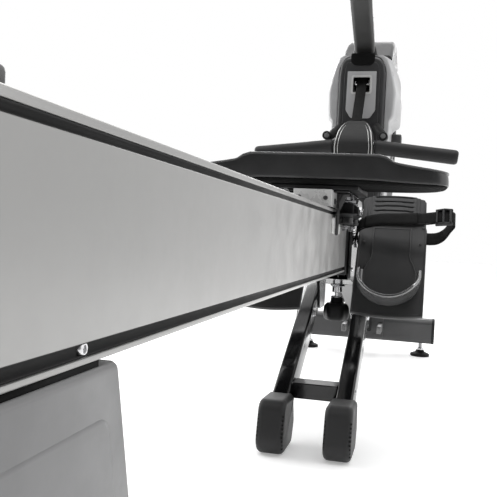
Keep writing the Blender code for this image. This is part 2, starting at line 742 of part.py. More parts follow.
def build_strap_drive():
    spool = turned(
        "strap_spool",
        [(0, -0.037), (0, 0.052), (PULLEY_R, 0.052), (PULLEY_R, 0.038), (0.0075, 0.038),
         (0.0075, 0.018), (0.040, 0.018), (0.040, 0.0145), (SPOOL_R, 0.0145),
         (SPOOL_R, -0.0145), (0.040, -0.0145), (0.040, -0.018), (0.0075, -0.018),
         (0.0075, -0.037)],
        (0, SPOOL_Y, SPOOL_Z), (1, 0, 0), 20,
    )
    part(spool, BLACK_MATT)
    idler = turned(
        "idler_roller",
        [(0.0054, 0.020), (IDLER_R + 0.002, 0.020), (IDLER_R, 0.015), (IDLER_R, -0.015),
         (IDLER_R + 0.002, -0.020), (0.0054, -0.020)],
        (0, IDLER_Y, IDLER_Z), (1, 0, 0), 20,
    )
    part(idler, BLACK_MATT)

    small, large = Vector((DRUM_Y, DRUM_Z)), Vector((SPOOL_Y, SPOOL_Z))
    line = math.degrees(math.atan2(small.y - large.y, small.x - large.x))
    lean = math.degrees(math.acos((PULLEY_R - SHEAVE_R) / (small - large).length))

    def loop(offset):
        turn_large = arc(large, PULLEY_R + offset, line + lean, line + 360 - lean, 14)
        turn_small = arc(small, SHEAVE_R + offset, line - lean, line + lean, 8)
        return turn_large + turn_small

    belt = prism("drive_belt", [loop(0.0032), loop(0.0012)], SIDE_VIEW, *BELT_X)
    part(belt, RUBBER)


def strap_path():
    """Centre line of the pull strap: up from the spool, over the idler, out to the handle."""
    radius = IDLER_R + GAP + STRAP_THICK / 2
    idler = Vector((IDLER_Y, IDLER_Z))
    away = POD_TOP - idler
    leave = math.degrees(math.atan2(away.y, away.x) - math.acos(radius / away.length)) % 360
    wrap = arc(idler, radius, 8, leave, 10)
    start = Vector((SPOOL_Y - SPOOL_R - GAP - STRAP_THICK, SPOOL_Z))
    end = POD_TOP + (Vector(wrap[-1]) - POD_TOP).normalized() * 0.004
    return [start, *wrap, end]


def build_strap():
    strap = prism(
        "pull_strap", [ribbon(strap_path(), STRAP_THICK)], SIDE_VIEW, -STRAP_HALF, STRAP_HALF
    )
    part(strap, BLACK_MATT)


# ---------------------------------------------------------------- housings
def build_drum():
    edge = DRUM_HALF
    inner = DRUM_R - SKIN
    for side, sign in SIDES.items():
        shell = turned(
            f"drum_cover_{side}",
            [(0, edge), (0.270, edge), (0.2770, edge - 0.004), (DRUM_R, edge - 0.012),
             (DRUM_R, GAP), (inner, GAP), (inner, edge - 0.0125), (0.2752, edge - 0.0062),
             (0.269, edge - SKIN), (0, edge - SKIN)],
            (0, DRUM_Y, DRUM_Z), (sign, 0, 0), 48,
        )
        mouth = box(
            f"drum_mouth_{side}", (-0.1, 0.3, 0.3), (0.1, DRUM_OPEN_Y, 1.0)
        )
        cut(shell, mouth)
        part(shell, GREY)


def tower_outline(inset, low):
    half = [
        (TOWER_HALF, low, 0), (TOWER_HALF, 0.740, 0.06), (0.0560, 0.790, 0.03),
        (0.0400, 0.822, 0.02), (0.0250, TOWER_TOP, 0),
    ]
    half = [(x - inset, min(z, TOWER_TOP - inset), r) for x, z, r in half]
    full = half + [(-x, z, r) for x, z, r in reversed(half)]
    return rounded(full, 3)


def build_tower():
    cover = prism(
        "tower_cover", [tower_outline(0, TOWER_LOW)], BACK_VIEW, -TOWER_REAR, -TOWER_FRONT
    )
    hollow = prism(
        "tower_hollow", [tower_outline(SKIN, TOWER_LOW - 0.05)],
        BACK_VIEW, -(TOWER_REAR + SKIN), -(TOWER_FRONT + 0.05),
    )
    window = box(
        "tower_window", (-WINDOW_HALF, 0.50, WINDOW_Z[0]), (WINDOW_HALF, 0.545, WINDOW_Z[1])
    )
    foot_line = prism(
        "tower_foot_line", [[(0.50, 0.20), (0.70, 0.20), (0.70, 0.241), (0.50, 0.3015)]],
        SIDE_VIEW, -0.1, 0.1,
    )
    cut(cover, hollow, window, foot_line)
    part(cover, CHARCOAL)

    plate = rounded([
        (-0.024, 0.670, 0.006), (0.024, 0.670, 0.006), (0.037, 0.690, 0.012),
        (0.036, 0.788, 0.002), (-0.036, 0.788, 0.002), (-0.037, 0.690, 0.012),
    ])
    opening = rectangle((-WINDOW_HALF, WINDOW_Z[0]), (WINDOW_HALF, WINDOW_Z[1]), 0.003)
    guide = prism(
        "strap_guide", [plate, opening], BACK_VIEW, -(TOWER_REAR - 0.0050), -(TOWER_REAR - GAP)
    )
    part(guide, SILVER)

    half_shell = [
        (TOWER_HALF + GAP, 0.452, 0), (0.0713, 0.452, 0.003), (0.0735, 0.668, 0.008),
        (0.0930, 0.680, 0.004), (0.0950, 0.740, 0.05), (0.0925, 0.788, 0.012),
        (0.0735, 0.829, 0.006), (TOWER_HALF + GAP, 0.832, 0),
    ]
    shell_profile = rounded([
        (0.5465, 0.400, 0), (0.640, 0.400, 0), (0.700, 0.560, 0.08), (0.775, 0.640, 0.05),
        (0.778, 0.780, 0.03), (0.700, 0.845, 0.05), (0.5465, 0.845, 0),
    ])
    for side, sign in SIDES.items():
        shell = prism(
            f"tower_side_{side}", [[(sign * x, z) for x, z in rounded(half_shell)]],
            BACK_VIEW, -0.545, -0.780,
        )
        drum_room = box(
            f"side_drum_room_{side}",
            (sign * 0.05, TOWER_FRONT, 0.4), (sign * (DRUM_HALF + GAP), 0.80, 0.9),
        )
        pocket = box(
            f"side_pocket_{side}", (sign * 0.05, 0.659, 0.700), (sign * 0.0900, 0.774, 0.775)
        )
        narrowing = prism(
            f"side_narrowing_{side}",
            [[(sign * 0.0755, 0.5455), (sign * 0.0755, 0.530), (sign * 0.120, 0.530),
              (sign * 0.120, 0.655), (sign * 0.0930, 0.655)]],
            PLAN_VIEW, 0.40, 0.90,
        )
        cut(shell, drum_room, pocket, narrowing)
        trim(shell, prism(f"tower_side_profile_{side}", [shell_profile], SIDE_VIEW, -0.2, 0.2))
        part(shell, SILVER)

        peg = bent_rod(
            f"handle_peg_{side}",
            [(sign * 0.045, TOWER_REAR - GAP, 0.6450), (sign * 0.045, 0.520, 0.6450),
             (sign * 0.064, 0.480, 0.6170), (sign * 0.067, 0.466, 0.6125),
             (sign * 0.067, HANDLE_Y, 0.6115)],
            0.0115, 3,
        )
        part(peg, RUBBER)


def build_console():
    lower = smooth_path([(0.603, 0.8293), (0.560, 0.8480), (0.476, 0.8860), (0.413, 0.9140),
                         (0.330, 0.9580), (0.262, 1.0180)], 2)
    upper = smooth_path([(0.247, 1.0420), (0.320, 0.9860), (0.413, 0.9420), (0.476, 0.9140),
                         (0.560, 0.8780), (0.622, 0.8480)], 2)
    side = [tuple(p) for p in lower] + [tuple(p) for p in upper] + [(0.622, 0.8293)]
    arm = prism("console_arm", [side], SIDE_VIEW, -ARM_HALF, ARM_HALF)
    hinge = (0, *CONSOLE_HINGE)
    fork_view = (ARM_END_WAY, ARM_END_WAY.cross(Vector((1, 0, 0))), Vector((-1, 0, 0)))
    slot = prism(
        "arm_fork_slot", [rectangle((-0.014, -0.03), (0.04, 0.03))],
        fork_view, -KNUCKLE_HALF - 0.0005, KNUCKLE_HALF + 0.0005, hinge,
    )
    cut(arm, slot, rod("arm_pin_bore", hinge, (1, 0, 0), 0.0044, 0.10, 12))
    part(arm, CHARCOAL)

    tilt = math.radians(24)
    facing = Vector((0, -math.cos(tilt), math.sin(tilt)))
    climb = Vector((0, math.sin(tilt), math.cos(tilt)))
    view = ((1, 0, 0), climb, facing)
    outline = rounded([(-0.085, -0.020, 0.015), (0.085, -0.020, 0.015), (0.100, 0.097, 0.015),
                       (-0.100, 0.097, 0.015)], 3)
    console = prism("console_body", [outline], view, 0.026, 0.052, hinge)
    knuckle = rod("console_knuckle", hinge, (1, 0, 0), 0.010, 2 * KNUCKLE_HALF, 16)
    web = prism(
        "console_web", [rectangle((-KNUCKLE_HALF, -0.008), (KNUCKLE_HALF, 0.008))],
        view, 0.004, 0.034, hinge,
    )
    pin = rod("console_pin", hinge, (1, 0, 0), 0.004, 2 * ARM_HALF - 0.001, 12)
    join(console, web, knuckle, pin)
    part(console, BLACK_MATT, "console_tilt")


# ---------------------------------------------------------------- pedals
def pedal_place(along, out):
    """World (0, y, z) of a point on the pedal: along from the heel, out from its face."""
    place = HEEL + PEDAL_UP * along
    normal = Vector(PEDAL_VIEW[2][1:])
    place = place + normal * out
    return 0.0, place.x, place.y


def build_pedal(side, sign):
    origin = pedal_place(0, 0)
    low, high = PEDAL_X
    mid = PEDAL_MID

    def across(points):
        return [(sign * x, s) for x, s in points]

    lower_edge = [
        (low + (high - low) * i / 8, -0.006 * math.sin(math.pi * i / 8)) for i in range(9)
    ]
    board_outline = lower_edge + [
        (high, 0.190), (0.1770, 0.200), (0.1755, PEDAL_LONG - 0.010),
        (0.1450, PEDAL_LONG - 0.003), (PEDAL_MID, PEDAL_LONG - 0.001),
        (0.0800, PEDAL_LONG - 0.003), (0.0500, PEDAL_LONG - 0.010), (0.0490, 0.200),
        (low, 0.190),
    ]
    board = prism(
        f"foot_plate_{side}", [across(board_outline)], PEDAL_VIEW, -PEDAL_THICK, 0.0, origin
    )
    toe_outline = [
        (0.0535, 0.205), (0.1720, 0.205), (0.1740, PEDAL_LONG - 0.009),
        (0.1450, PEDAL_LONG - 0.0025), (PEDAL_MID, PEDAL_LONG - 0.0005),
        (0.0800, PEDAL_LONG - 0.0025), (0.0520, PEDAL_LONG - 0.009),
    ]
    toe = prism(
        f"toe_pad_{side}", [across(toe_outline)], PEDAL_VIEW, -0.005, 0.010, origin
    )
    join(board, toe)
    for index in range(4):
        groove = prism(
            f"toe_groove_{side}_{index}",
            [across(rectangle((0.0735, 0.2298 + 0.0115 * index), (0.1505, 0.2328 + 0.0115 * index)))],
            PEDAL_VIEW, 0.0075, 0.02, origin,
        )
        cut(board, groove)
    saddle = prism(
        f"pedal_saddle_{side}", [across(rectangle((0.050, 0.155), (0.176, 0.195)))],
        PEDAL_VIEW, -0.030, -0.005, origin,
    )
    stub_room = rod(
        f"pedal_stub_room_{side}", (sign * 0.10, 0.1715, 0.362), (1, 0, 0), 0.0104, 0.30, 12
    )
    tongue_room = prism(
        f"heel_tongue_room_{side}",
        [across(rectangle((PEDAL_MID - TONGUE_HALF - 0.0008, 0.196),
                          (PEDAL_MID + TONGUE_HALF + 0.0008, 0.239)))],
        PEDAL_VIEW, -0.0005, 0.0045, origin,
    )
    join(board, saddle)
    cut(board, stub_room, tongue_room)
    part(board, BLACK_MATT)

    outer_r, inner_r = 0.0600, 0.0540
    centre = (mid, 0.076)
    shoulder = [
        (outer_r, 0.0920), (inner_r, 0.0940), (TONGUE_HALF + 0.004, 0.1120),
        (TONGUE_HALF, 0.1260), (TONGUE_HALF, 0.1945),
    ]
    outer = arc(centre, outer_r, 180, 360, 14)
    outer += [(mid + x, s) for x, s in shoulder] + [(mid - x, s) for x, s in shoulder[::-1]]
    inner = arc(centre, inner_r, 180, 360, 14) + [(mid + inner_r, 0.260), (mid - inner_r, 0.260)]
    pivot(f"heel_slide_{side}", (sign * mid, *pedal_place(0.076, 0)[1:]))
    cup = prism(f"heel_cup_{side}", [across(outer)], PEDAL_VIEW, GAP, 0.034, origin)
    cup_room = prism(f"heel_cup_room_{side}", [across(inner)], PEDAL_VIEW, 0.004, 0.06, origin)
    slope = prism(
        f"heel_cup_slope_{side}",
        [[(0.110, 0.0033), (0.110, 0.080), (0.030, 0.080), (0.030, 0.0407)]],
        ((0, *PEDAL_VIEW[1][1:]), PEDAL_VIEW[2], (1, 0, 0)), -0.4, 0.4, origin,
    )
    cut(cup, cup_room, slope)
    part(cup, CHARCOAL, f"heel_slide_{side}")

    arch = smooth_path([
        (0.0445, -0.006), (0.0442, 0.012), (0.058, 0.031), (0.090, 0.0435), (0.120, 0.0465),
        (0.150, 0.0495), (0.178, 0.0535), (0.205, 0.0600), (0.224, 0.0595), (0.2285, 0.0490),
        (0.222, 0.0320), (0.211, 0.0080), (0.198, -0.0050), (0.1825, -0.0070),
    ], 3)
    strap_view = ((1, 0, 0), PEDAL_VIEW[2], (0, -PEDAL_UP.x, -PEDAL_UP.y))
    strap = prism(
        f"foot_strap_{side}", [[(sign * x, n) for x, n in ribbon(arch, 0.0024)]],
        strap_view, -STRAP_AT[0], -STRAP_AT[1], origin,
    )
    part(strap, BLACK_MATT)


# ---------------------------------------------------------------- handle
def bar_points(reach):
    return [
        (-reach, HANDLE_Y, HANDLE_MID_Z - HANDLE_DROOP * reach),
        (0.0, HANDLE_Y, HANDLE_MID_Z),
        (reach, HANDLE_Y, HANDLE_MID_Z - HANDLE_DROOP * reach),
    ]


def build_handle():
    bar = bent_rod("handle_bar", bar_points(0.232), BAR_R, 3)
    part(bar, STEEL, "handle_pull")

    back = both_sides([
        (0.0420, 0.5520), (0.0460, 0.5570), (0.0466, 0.5820), (0.0414, 0.6190),
        (0.0300, 0.6420), (0.0224, POD_TOP.y + 0.0015), (0.0180, POD_TOP.y + 0.0030),
    ])
    pod = prism("handle_pod", [back], BACK_VIEW, -0.390, -0.480)
    profile = rounded([
        (0.404, 0.545, 0.004), (0.452, 0.545, 0.010), (0.468, 0.600, 0.02),
        (0.464, POD_TOP.y, 0.006), (0.450, POD_TOP.y, 0.006), (0.398, 0.590, 0.02),
    ])
    trim(pod, prism("pod_profile", [profile], SIDE_VIEW, -0.08, 0.08))
    cut(pod, bent_rod("pod_bore", bar_points(0.1), BAR_R + GAP, 3))
    part(pod, CHARCOAL, "handle_pull")

    for side, sign in SIDES.items():
        slope = math.atan(HANDLE_DROOP)
        axis = Vector((sign * math.cos(slope), 0, -math.sin(slope)))
        long = HANDLE_HALF / math.cos(slope)
        start = 0.0500 / math.cos(slope)
        grip = turned(
            f"grip_{side}",
            [(BAR_R + GAP, start), (BAR_R + GAP, 0.2355), (0, 0.2355), (0, long),
             (0.0135, long), (0.0165, long - 0.003), (GRIP_R, long - 0.007),
             (GRIP_R, start + 0.002), (0.0155, start)],
            (0, HANDLE_Y, HANDLE_MID_Z), axis, 20,
        )
        part(grip, RUBBER, "handle_pull")


build_rail()
build_hinge_block()
build_rear_leg()
build_seat()
build_carriage()
build_legs()
build_yoke()
build_spine()
build_drive_frame()
build_flywheel()
build_strap_drive()
build_strap()
build_drum()
build_tower()
build_console()
for side_name, side_sign in SIDES.items():
    build_pedal(side_name, side_sign)
build_handle()
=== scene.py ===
"""Looks of the folding rowing machine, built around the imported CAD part.

Everything is in metres in the row frame: +X to the rower's right, +Y towards the
flywheel, +Z up. Pieces keep their place in their vertices and sit at the origin, so
Object texture coordinates are the row frame too.
"""

import math

import bmesh
import bpy
from mathutils import Matrix, Vector


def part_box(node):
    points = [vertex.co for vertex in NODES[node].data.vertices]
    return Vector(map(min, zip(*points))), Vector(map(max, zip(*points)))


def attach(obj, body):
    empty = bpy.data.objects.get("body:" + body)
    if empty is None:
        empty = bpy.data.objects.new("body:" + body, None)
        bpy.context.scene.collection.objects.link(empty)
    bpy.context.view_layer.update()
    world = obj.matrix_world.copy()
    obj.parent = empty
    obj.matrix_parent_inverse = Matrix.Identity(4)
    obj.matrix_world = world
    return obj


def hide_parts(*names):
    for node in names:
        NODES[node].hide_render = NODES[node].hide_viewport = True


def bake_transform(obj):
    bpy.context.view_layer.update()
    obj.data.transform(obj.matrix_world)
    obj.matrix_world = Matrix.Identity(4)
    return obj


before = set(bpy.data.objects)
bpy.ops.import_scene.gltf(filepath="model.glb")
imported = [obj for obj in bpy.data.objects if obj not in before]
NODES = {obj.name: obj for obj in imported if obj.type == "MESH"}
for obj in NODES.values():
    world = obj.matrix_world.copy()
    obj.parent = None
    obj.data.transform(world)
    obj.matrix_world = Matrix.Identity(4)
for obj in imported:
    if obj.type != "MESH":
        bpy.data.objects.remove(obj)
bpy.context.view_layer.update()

# ---------------------------------------------------------------- places read from the frame
SIDES = {"left": -1, "right": 1}
RAIL_LO, RAIL_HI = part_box("rail_beam")
CAP_LO, CAP_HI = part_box("rail_end_cap")
KNOB_LO, KNOB_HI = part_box("lock_knob")
ROLLER_LO, ROLLER_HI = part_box("idler_roller")
IDLER = (ROLLER_LO + ROLLER_HI) / 2

# ---------------------------------------------------------------- sizes shared by pieces
SKIN = 0.0025
HINGE = Vector((0, 0.23, 0.42))
KNOB_AXIS = Vector((0, 0.236, 0))
LEG_LOW = Vector((-0.098, 0.0425))
LEG_HIGH = Vector((0.3, 0.2615))
LEG_X = (0.0405, 0.0705)
LEG_HEIGHT = 0.05
SPINE_REAR = Vector((0.3003, 0.325))
SPINE_FRONT = Vector((1.0297, 0.104))
DRUM_AXIS = Vector((0, 0.86, 0.66))
DRUM_R, DRUM_HALF, DRUM_OPEN_Y = 0.28, 0.066, 0.665
TOWER_FRONT = 0.66
WINDOW_HALF, WINDOW_Z = 0.021, (0.735, 0.773)
PEG_TIP_Z, PEG_R = 0.6104, 0.0103
CONSOLE_HINGE = Vector((0, 0.2607, 1.0222))
ARM_HALF, KNUCKLE_HALF = 0.026, 0.016
ARM_END_WAY = Vector((0, -0.62, 0.785)).normalized()
HANDLE_MID = Vector((0, 0.424, 0.5893))
HANDLE_DROOP = 0.1095
POD_TOP = Vector((0, 0.455, 0.65))
HEEL = Vector((0, 0.04, 0.23))
TOE = Vector((0, 0.2, 0.455))
PEDAL_MID = 0.1125
PEDAL_LONG = (TOE - HEEL).length

# Drawing planes: local x, local y and outward direction in the world
X_AXIS, Y_AXIS, Z_AXIS = Vector((1, 0, 0)), Vector((0, 1, 0)), Vector((0, 0, 1))
SIDE_VIEW = (Y_AXIS, Z_AXIS, X_AXIS)
BACK_VIEW = (X_AXIS, Z_AXIS, -Y_AXIS)
PLAN_VIEW = (X_AXIS, Y_AXIS, Z_AXIS)
FLANK_VIEW = {side: (Y_AXIS, Z_AXIS, X_AXIS * sign) for side, sign in SIDES.items()}
PEDAL_WAY = (TOE - HEEL) / PEDAL_LONG
PEDAL_OUT = Vector((0, -PEDAL_WAY.z, PEDAL_WAY.y))


# ---------------------------------------------------------------- materials
class Nodes:
    """A short way to write a node tree."""

    def __init__(self, name):
        self.material = bpy.data.materials.new(name)
        self.material.use_nodes = True
        self.tree = self.material.node_tree
        self.shader = self.tree.nodes["Principled BSDF"]
        self.place = self.add("ShaderNodeTexCoord").outputs["Object"]

    def add(self, kind, **settings):
        node = self.tree.nodes.new(kind)
        for key, value in settings.items():
            setattr(node, key, value)
        return node

    def join(self, source, target):
        self.tree.links.new(source, target)

    def scaled(self, scale):
        mapping = self.add("ShaderNodeMapping")
        mapping.inputs["Scale"].default_value = scale
        self.join(self.place, mapping.inputs["Vector"])
        return mapping.outputs["Vector"]

    def noise(self, scale, detail=4.0, rough=0.55, stretch=(1, 1, 1)):
        node = self.add("ShaderNodeTexNoise")
        node.inputs["Scale"].default_value = scale
        node.inputs["Detail"].default_value = detail
        node.inputs["Roughness"].default_value = rough
        self.join(self.scaled(stretch), node.inputs["Vector"])
        return node.outputs["Fac"]

    def cells(self, scale, stretch=(1, 1, 1)):
        node = self.add("ShaderNodeTexVoronoi")
        node.inputs["Scale"].default_value = scale
        self.join(self.scaled(stretch), node.inputs["Vector"])
        return node.outputs["Distance"]

    def bands(self, scale, direction, stretch=(1, 1, 1)):
        node = self.add("ShaderNodeTexWave", wave_type="BANDS", bands_direction=direction)
        node.inputs["Scale"].default_value = scale
        self.join(self.scaled(stretch), node.inputs["Vector"])
        return node.outputs["Fac"]

    def maths(self, operation, first, second):
        node = self.add("ShaderNodeMath", operation=operation)
        for socket, value in zip(node.inputs, (first, second)):
            if isinstance(value, (int, float)):
                socket.default_value = value
            else:
                self.join(value, socket)
        return node.outputs[0]

    def spread(self, value, low, high, to_low, to_high):
        node = self.add("ShaderNodeMapRange", interpolation_type="SMOOTHSTEP")
        self.join(value, node.inputs["Value"])
        for key, number in zip(("From Min", "From Max", "To Min", "To Max"),
                               (low, high, to_low, to_high)):
            node.inputs[key].default_value = number
        return node.outputs["Result"]

    def mixed(self, factor, first, second):
        node = self.add("ShaderNodeMix", data_type="RGBA")
        self.join(factor, node.inputs["Factor"])
        for socket, value in zip((node.inputs["A"], node.inputs["B"]), (first, second)):
            if isinstance(value, tuple):
                socket.default_value = (*value, 1.0)
            else:
                self.join(value, socket)
        return node.outputs["Result"]

    def bump(self, height, strength, distance, under=None):
        node = self.add("ShaderNodeBump")
        node.inputs["Strength"].default_value = strength
        node.inputs["Distance"].default_value = distance
        self.join(height, node.inputs["Height"])
        if under is not None:
            self.join(under, node.inputs["Normal"])
        return node.outputs["Normal"]


def tinted(colour, factor):
    return tuple(min(1.0, channel * factor) for channel in colour)


def surface(name, colour, rough, metallic=0.0, vary=0.12, vary_scale=9.0, rough_vary=0.06,
            stretch=(1, 1, 1), specular=0.5, coat=0.0, wear=0.0, sheen=0.0):
    """Colour and roughness that drift over the surface, lighter worn edges, constant gloss."""
    nodes = Nodes(name)
    shader = nodes.shader
    drift = nodes.noise(vary_scale, 6.0, 0.6, stretch)
    drift = nodes.spread(drift, 0.3, 0.7, 0.0, 1.0)
    paint = nodes.mixed(drift, tinted(colour, 1 - vary), tinted(colour, 1 + vary))
    if wear:
        edge = nodes.add("ShaderNodeNewGeometry").outputs["Pointiness"]
        edge = nodes.spread(edge, 0.53, 0.64, 0.0, wear)
        patch = nodes.spread(nodes.noise(60.0, 3.0), 0.35, 0.6, 0.3, 1.0)
        edge = nodes.maths("MULTIPLY", edge, patch)
        paint = nodes.mixed(edge, paint, tinted(colour, 2.6))
    nodes.join(paint, shader.inputs["Base Color"])
    smudge = nodes.noise(23.0, 5.0, 0.65)
    roughness = nodes.spread(smudge, 0.3, 0.7, max(0.02, rough - rough_vary), rough + rough_vary)
    nodes.join(roughness, shader.inputs["Roughness"])
    shader.inputs["Metallic"].default_value = metallic
    shader.inputs["Specular IOR Level"].default_value = specular
    shader.inputs["Coat Weight"].default_value = coat
    shader.inputs["Coat Roughness"].default_value = 0.08
    shader.inputs["Sheen Weight"].default_value = sheen
    return nodes


def with_normal(nodes, normal):
    nodes.join(normal, nodes.shader.inputs["Normal"])
    return nodes.material


def grained_plastic(name, colour, rough, grain=1500.0, depth=0.0001, **more):
    """Moulded plastic with the fine leathery texture of a spark-eroded tool."""
    nodes = surface(name, colour, rough, **more)
    fine = nodes.noise(grain, 2.0, 0.5)
    coarse = nodes.cells(grain * 0.45)
    height = nodes.maths("MULTIPLY", fine, coarse)
    return with_normal(nodes, nodes.bump(height, 0.35, depth))


def powder_coat(name, colour, rough, **more):
    """Stoved paint: a faint orange peel under a clear gloss."""
    nodes = surface(name, colour, rough, **more)
    peel = nodes.noise(420.0, 2.0, 0.45)
    return with_normal(nodes, nodes.bump(peel, 0.12, 0.00012))


def brushed_metal(name, colour, rough, along, pull=0.35, **more):
    """Metal with drawing lines along one world axis."""
    stretch = tuple(0.006 if axis == along else 1.0 for axis in "XYZ")
    nodes = surface(name, colour, rough, metallic=1.0, **more)
    lines = nodes.noise(900.0, 4.0, 0.7, stretch)
    return with_normal(nodes, nodes.bump(lines, pull, 0.00006))


def rail_anodising_painted_shade(name, shaded_tone, lit_tone, rough):
    """Drawn aluminium with painted shade: its base colour runs from a darker tone at the rail's rear end
    to a lighter one towards the front.
    """
    nodes = surface(name, shaded_tone, rough, metallic=1.0, rough_vary=0.04, stretch=(1, 0.2, 1))
    split = nodes.add("ShaderNodeSeparateXYZ")
    nodes.join(nodes.place, split.inputs[0])
    # Painted shade: the base colour darkens from the front towards the rear end, with a faint random
    # cloud on top.
    along = nodes.spread(split.outputs["Y"], -1.15, -0.1, 0.0, 1.0)
    cloud = nodes.spread(nodes.noise(3.0, 6.0, 0.6, (1, 0.2, 1)), 0.3, 0.7, -0.04, 0.04)
    tone = nodes.mixed(nodes.maths("ADD", along, cloud), shaded_tone, lit_tone)
    nodes.join(tone, nodes.shader.inputs["Base Color"])
    lines = nodes.noise(900.0, 4.0, 0.7, (1.0, 0.006, 1.0))
    return with_normal(nodes, nodes.bump(lines, 0.22, 0.00006))


def plated(name, colour, rough, **more):
    """Zinc or chrome on small hardware: cloudy, with faint tool marks."""
    nodes = surface(name, colour, rough, metallic=1.0, vary=0.1, vary_scale=120.0, **more)
    marks = nodes.noise(700.0, 3.0, 0.6)
    return with_normal(nodes, nodes.bump(marks, 0.1, 0.00005))


def rubber(name, colour, rough, **more):
    nodes = surface(name, colour, rough, specular=0.25, **more)
    speckle = nodes.noise(2200.0, 2.0, 0.6)
    wave = nodes.noise(70.0, 2.0, 0.5)
    height = nodes.maths("ADD", speckle, nodes.maths("MULTIPLY", wave, 0.5))
    return with_normal(nodes, nodes.bump(height, 0.3, 0.00012))


def seat_skin(name, colour, rough):
    """Integral-skin foam: pebbled cells with fine creases and a soft sheen."""
    nodes = surface(name, colour, rough, vary=0.14, vary_scale=16.0, rough_vary=0.05,
                    specular=0.5, sheen=0.05)
    pebbles = nodes.cells(620.0)
    creases = nodes.noise(1500.0, 3.0, 0.6)
    height = nodes.maths("ADD", pebbles, nodes.maths("MULTIPLY", creases, 0.35))
    return with_normal(nodes, nodes.bump(height, 0.3, 0.00016))


def webbing(name, colour, rough, across, along, pitch=0.0016):
    """Woven strap: ribs across its width and yarns along it, both as real relief."""
    nodes = surface(name, colour, rough, vary=0.2, vary_scale=180.0, specular=0.12)
    frequency = math.pi / pitch / 10
    yarns = nodes.bands(frequency, across)
    ribs = nodes.bands(frequency * 0.75, along)
    weave = nodes.maths("MAXIMUM", yarns, ribs)
    fluff = nodes.noise(3200.0, 2.0, 0.6)
    height = nodes.maths("ADD", weave, nodes.maths("MULTIPLY", fluff, 0.35))
    return with_normal(nodes, nodes.bump(height, 0.55, 0.00028))


def cast_iron(name, colour, rough):
    nodes = surface(name, colour, rough, metallic=0.85, vary=0.25, vary_scale=30.0)
    pits = nodes.noise(500.0, 5.0, 0.7)
    return with_normal(nodes, nodes.bump(pits, 0.45, 0.0004))


def glass_panel(name, colour, rough):
    nodes = surface(name, colour, rough, vary=0.06, vary_scale=5.0, rough_vary=0.03, coat=0.6)
    dust = nodes.noise(900.0, 2.0, 0.5)
    return with_normal(nodes, nodes.bump(dust, 0.03, 0.00004))


# The rail's darker tone is painted shade at its rear end.
ANODISED = rail_anodising_painted_shade("rail_anodising_painted_shade", (0.33, 0.328, 0.323), (0.74, 0.735, 0.725), 0.38)
GROOVE_SHADE = powder_coat("rail_groove_shadow", (0.036, 0.036, 0.036), 0.55, specular=0.2)
GLOSS_BLACK = powder_coat("gloss_black_coat", (0.006, 0.006, 0.0065), 0.14, vary=0.2,
                          rough_vary=0.03, specular=0.45, wear=0.25)
FRAME_GREY = powder_coat("frame_grey_coat", (0.14, 0.14, 0.142), 0.36, rough_vary=0.05, wear=0.2)
DARK_GREY = powder_coat("dark_grey_coat", (0.062, 0.062, 0.063), 0.34, rough_vary=0.05,
                        specular=0.35, wear=0.3)
POST_GREY = powder_coat("light_grey_coat", (0.2, 0.2, 0.2), 0.4, wear=0.1)
BLACK_PLASTIC = grained_plastic("black_plastic", (0.009, 0.009, 0.0095), 0.46, specular=0.28, wear=0.35)
PEDAL_PLASTIC = grained_plastic("pedal_plastic", (0.027, 0.027, 0.0275), 0.42, grain=1100.0,
                                depth=0.00014, specular=0.32, wear=0.4)
CUP_PLASTIC = powder_coat("heel_cup_plastic", (0.24, 0.24, 0.242), 0.2, metallic=0.7, rough_vary=0.03)
TOE_PLASTIC = grained_plastic("toe_plastic", (0.03, 0.03, 0.031), 0.46, grain=1100.0,
                              specular=0.35, wear=0.3)
CHARCOAL = grained_plastic("charcoal_plastic", (0.03, 0.03, 0.031), 0.38, specular=0.4, wear=0.3)
ARM_PLASTIC = grained_plastic("arm_plastic", (0.036, 0.036, 0.0355), 0.42, specular=0.4, wear=0.2)
DRUM_GREY = grained_plastic("drum_grey_plastic", (0.042, 0.042, 0.043), 0.42, wear=0.2)
SILVER = powder_coat("silver_lacquer", (0.42, 0.42, 0.425), 0.36, metallic=0.25, vary=0.05,
                     rough_vary=0.04, wear=0.1)
PALE_SILVER = powder_coat("pale_silver_lacquer", (0.58, 0.58, 0.57), 0.3, metallic=0.35,
                          vary=0.05, rough_vary=0.04)
POD_GRAIN = grained_plastic("pod_plastic", (0.02, 0.02, 0.02), 0.6, grain=800.0, depth=0.0002,
                            specular=0.3)
GRIP_RUBBER = rubber("grip_rubber", (0.024, 0.024, 0.0245), 0.56)
BOOT_RUBBER = rubber("boot_rubber", (0.027, 0.027, 0.0275), 0.5, wear=0.2)
FOOT_RUBBER = rubber("foot_rubber", (0.007, 0.007, 0.007), 0.6)
ZINC = plated("zinc_plate", (0.62, 0.62, 0.63), 0.26)
DARK_ZINC = plated("dark_zinc_plate", (0.16, 0.16, 0.165), 0.22)
CHROME = plated("chrome_plate", (0.78, 0.78, 0.79), 0.1)
SATIN_STEEL = brushed_metal("satin_steel", (0.6, 0.6, 0.61), 0.3, "X", 0.3, vary=0.06)
WHITE_NYLON = grained_plastic("white_nylon", (0.7, 0.7, 0.69), 0.36, vary=0.04)
WHITE_COAT = powder_coat("carriage_coat", (0.74, 0.74, 0.735), 0.3, metallic=0.15, vary=0.04)
IRON = cast_iron("cast_iron", (0.14, 0.14, 0.145), 0.45)
SEAT_SKIN = seat_skin("seat_skin", (0.023, 0.023, 0.0235), 0.34)
PULL_WEBBING = webbing("pull_webbing", (0.01, 0.01, 0.01), 0.7, "X", "Z")
FOOT_WEBBING = webbing("foot_webbing", (0.006, 0.006, 0.006), 0.66, "Z", "X")
SCREEN = glass_panel("screen_glass", (0.13, 0.14, 0.135), 0.1)
CUP_EDGE = grained_plastic("heel_cup_edge", (0.26, 0.26, 0.26), 0.3)
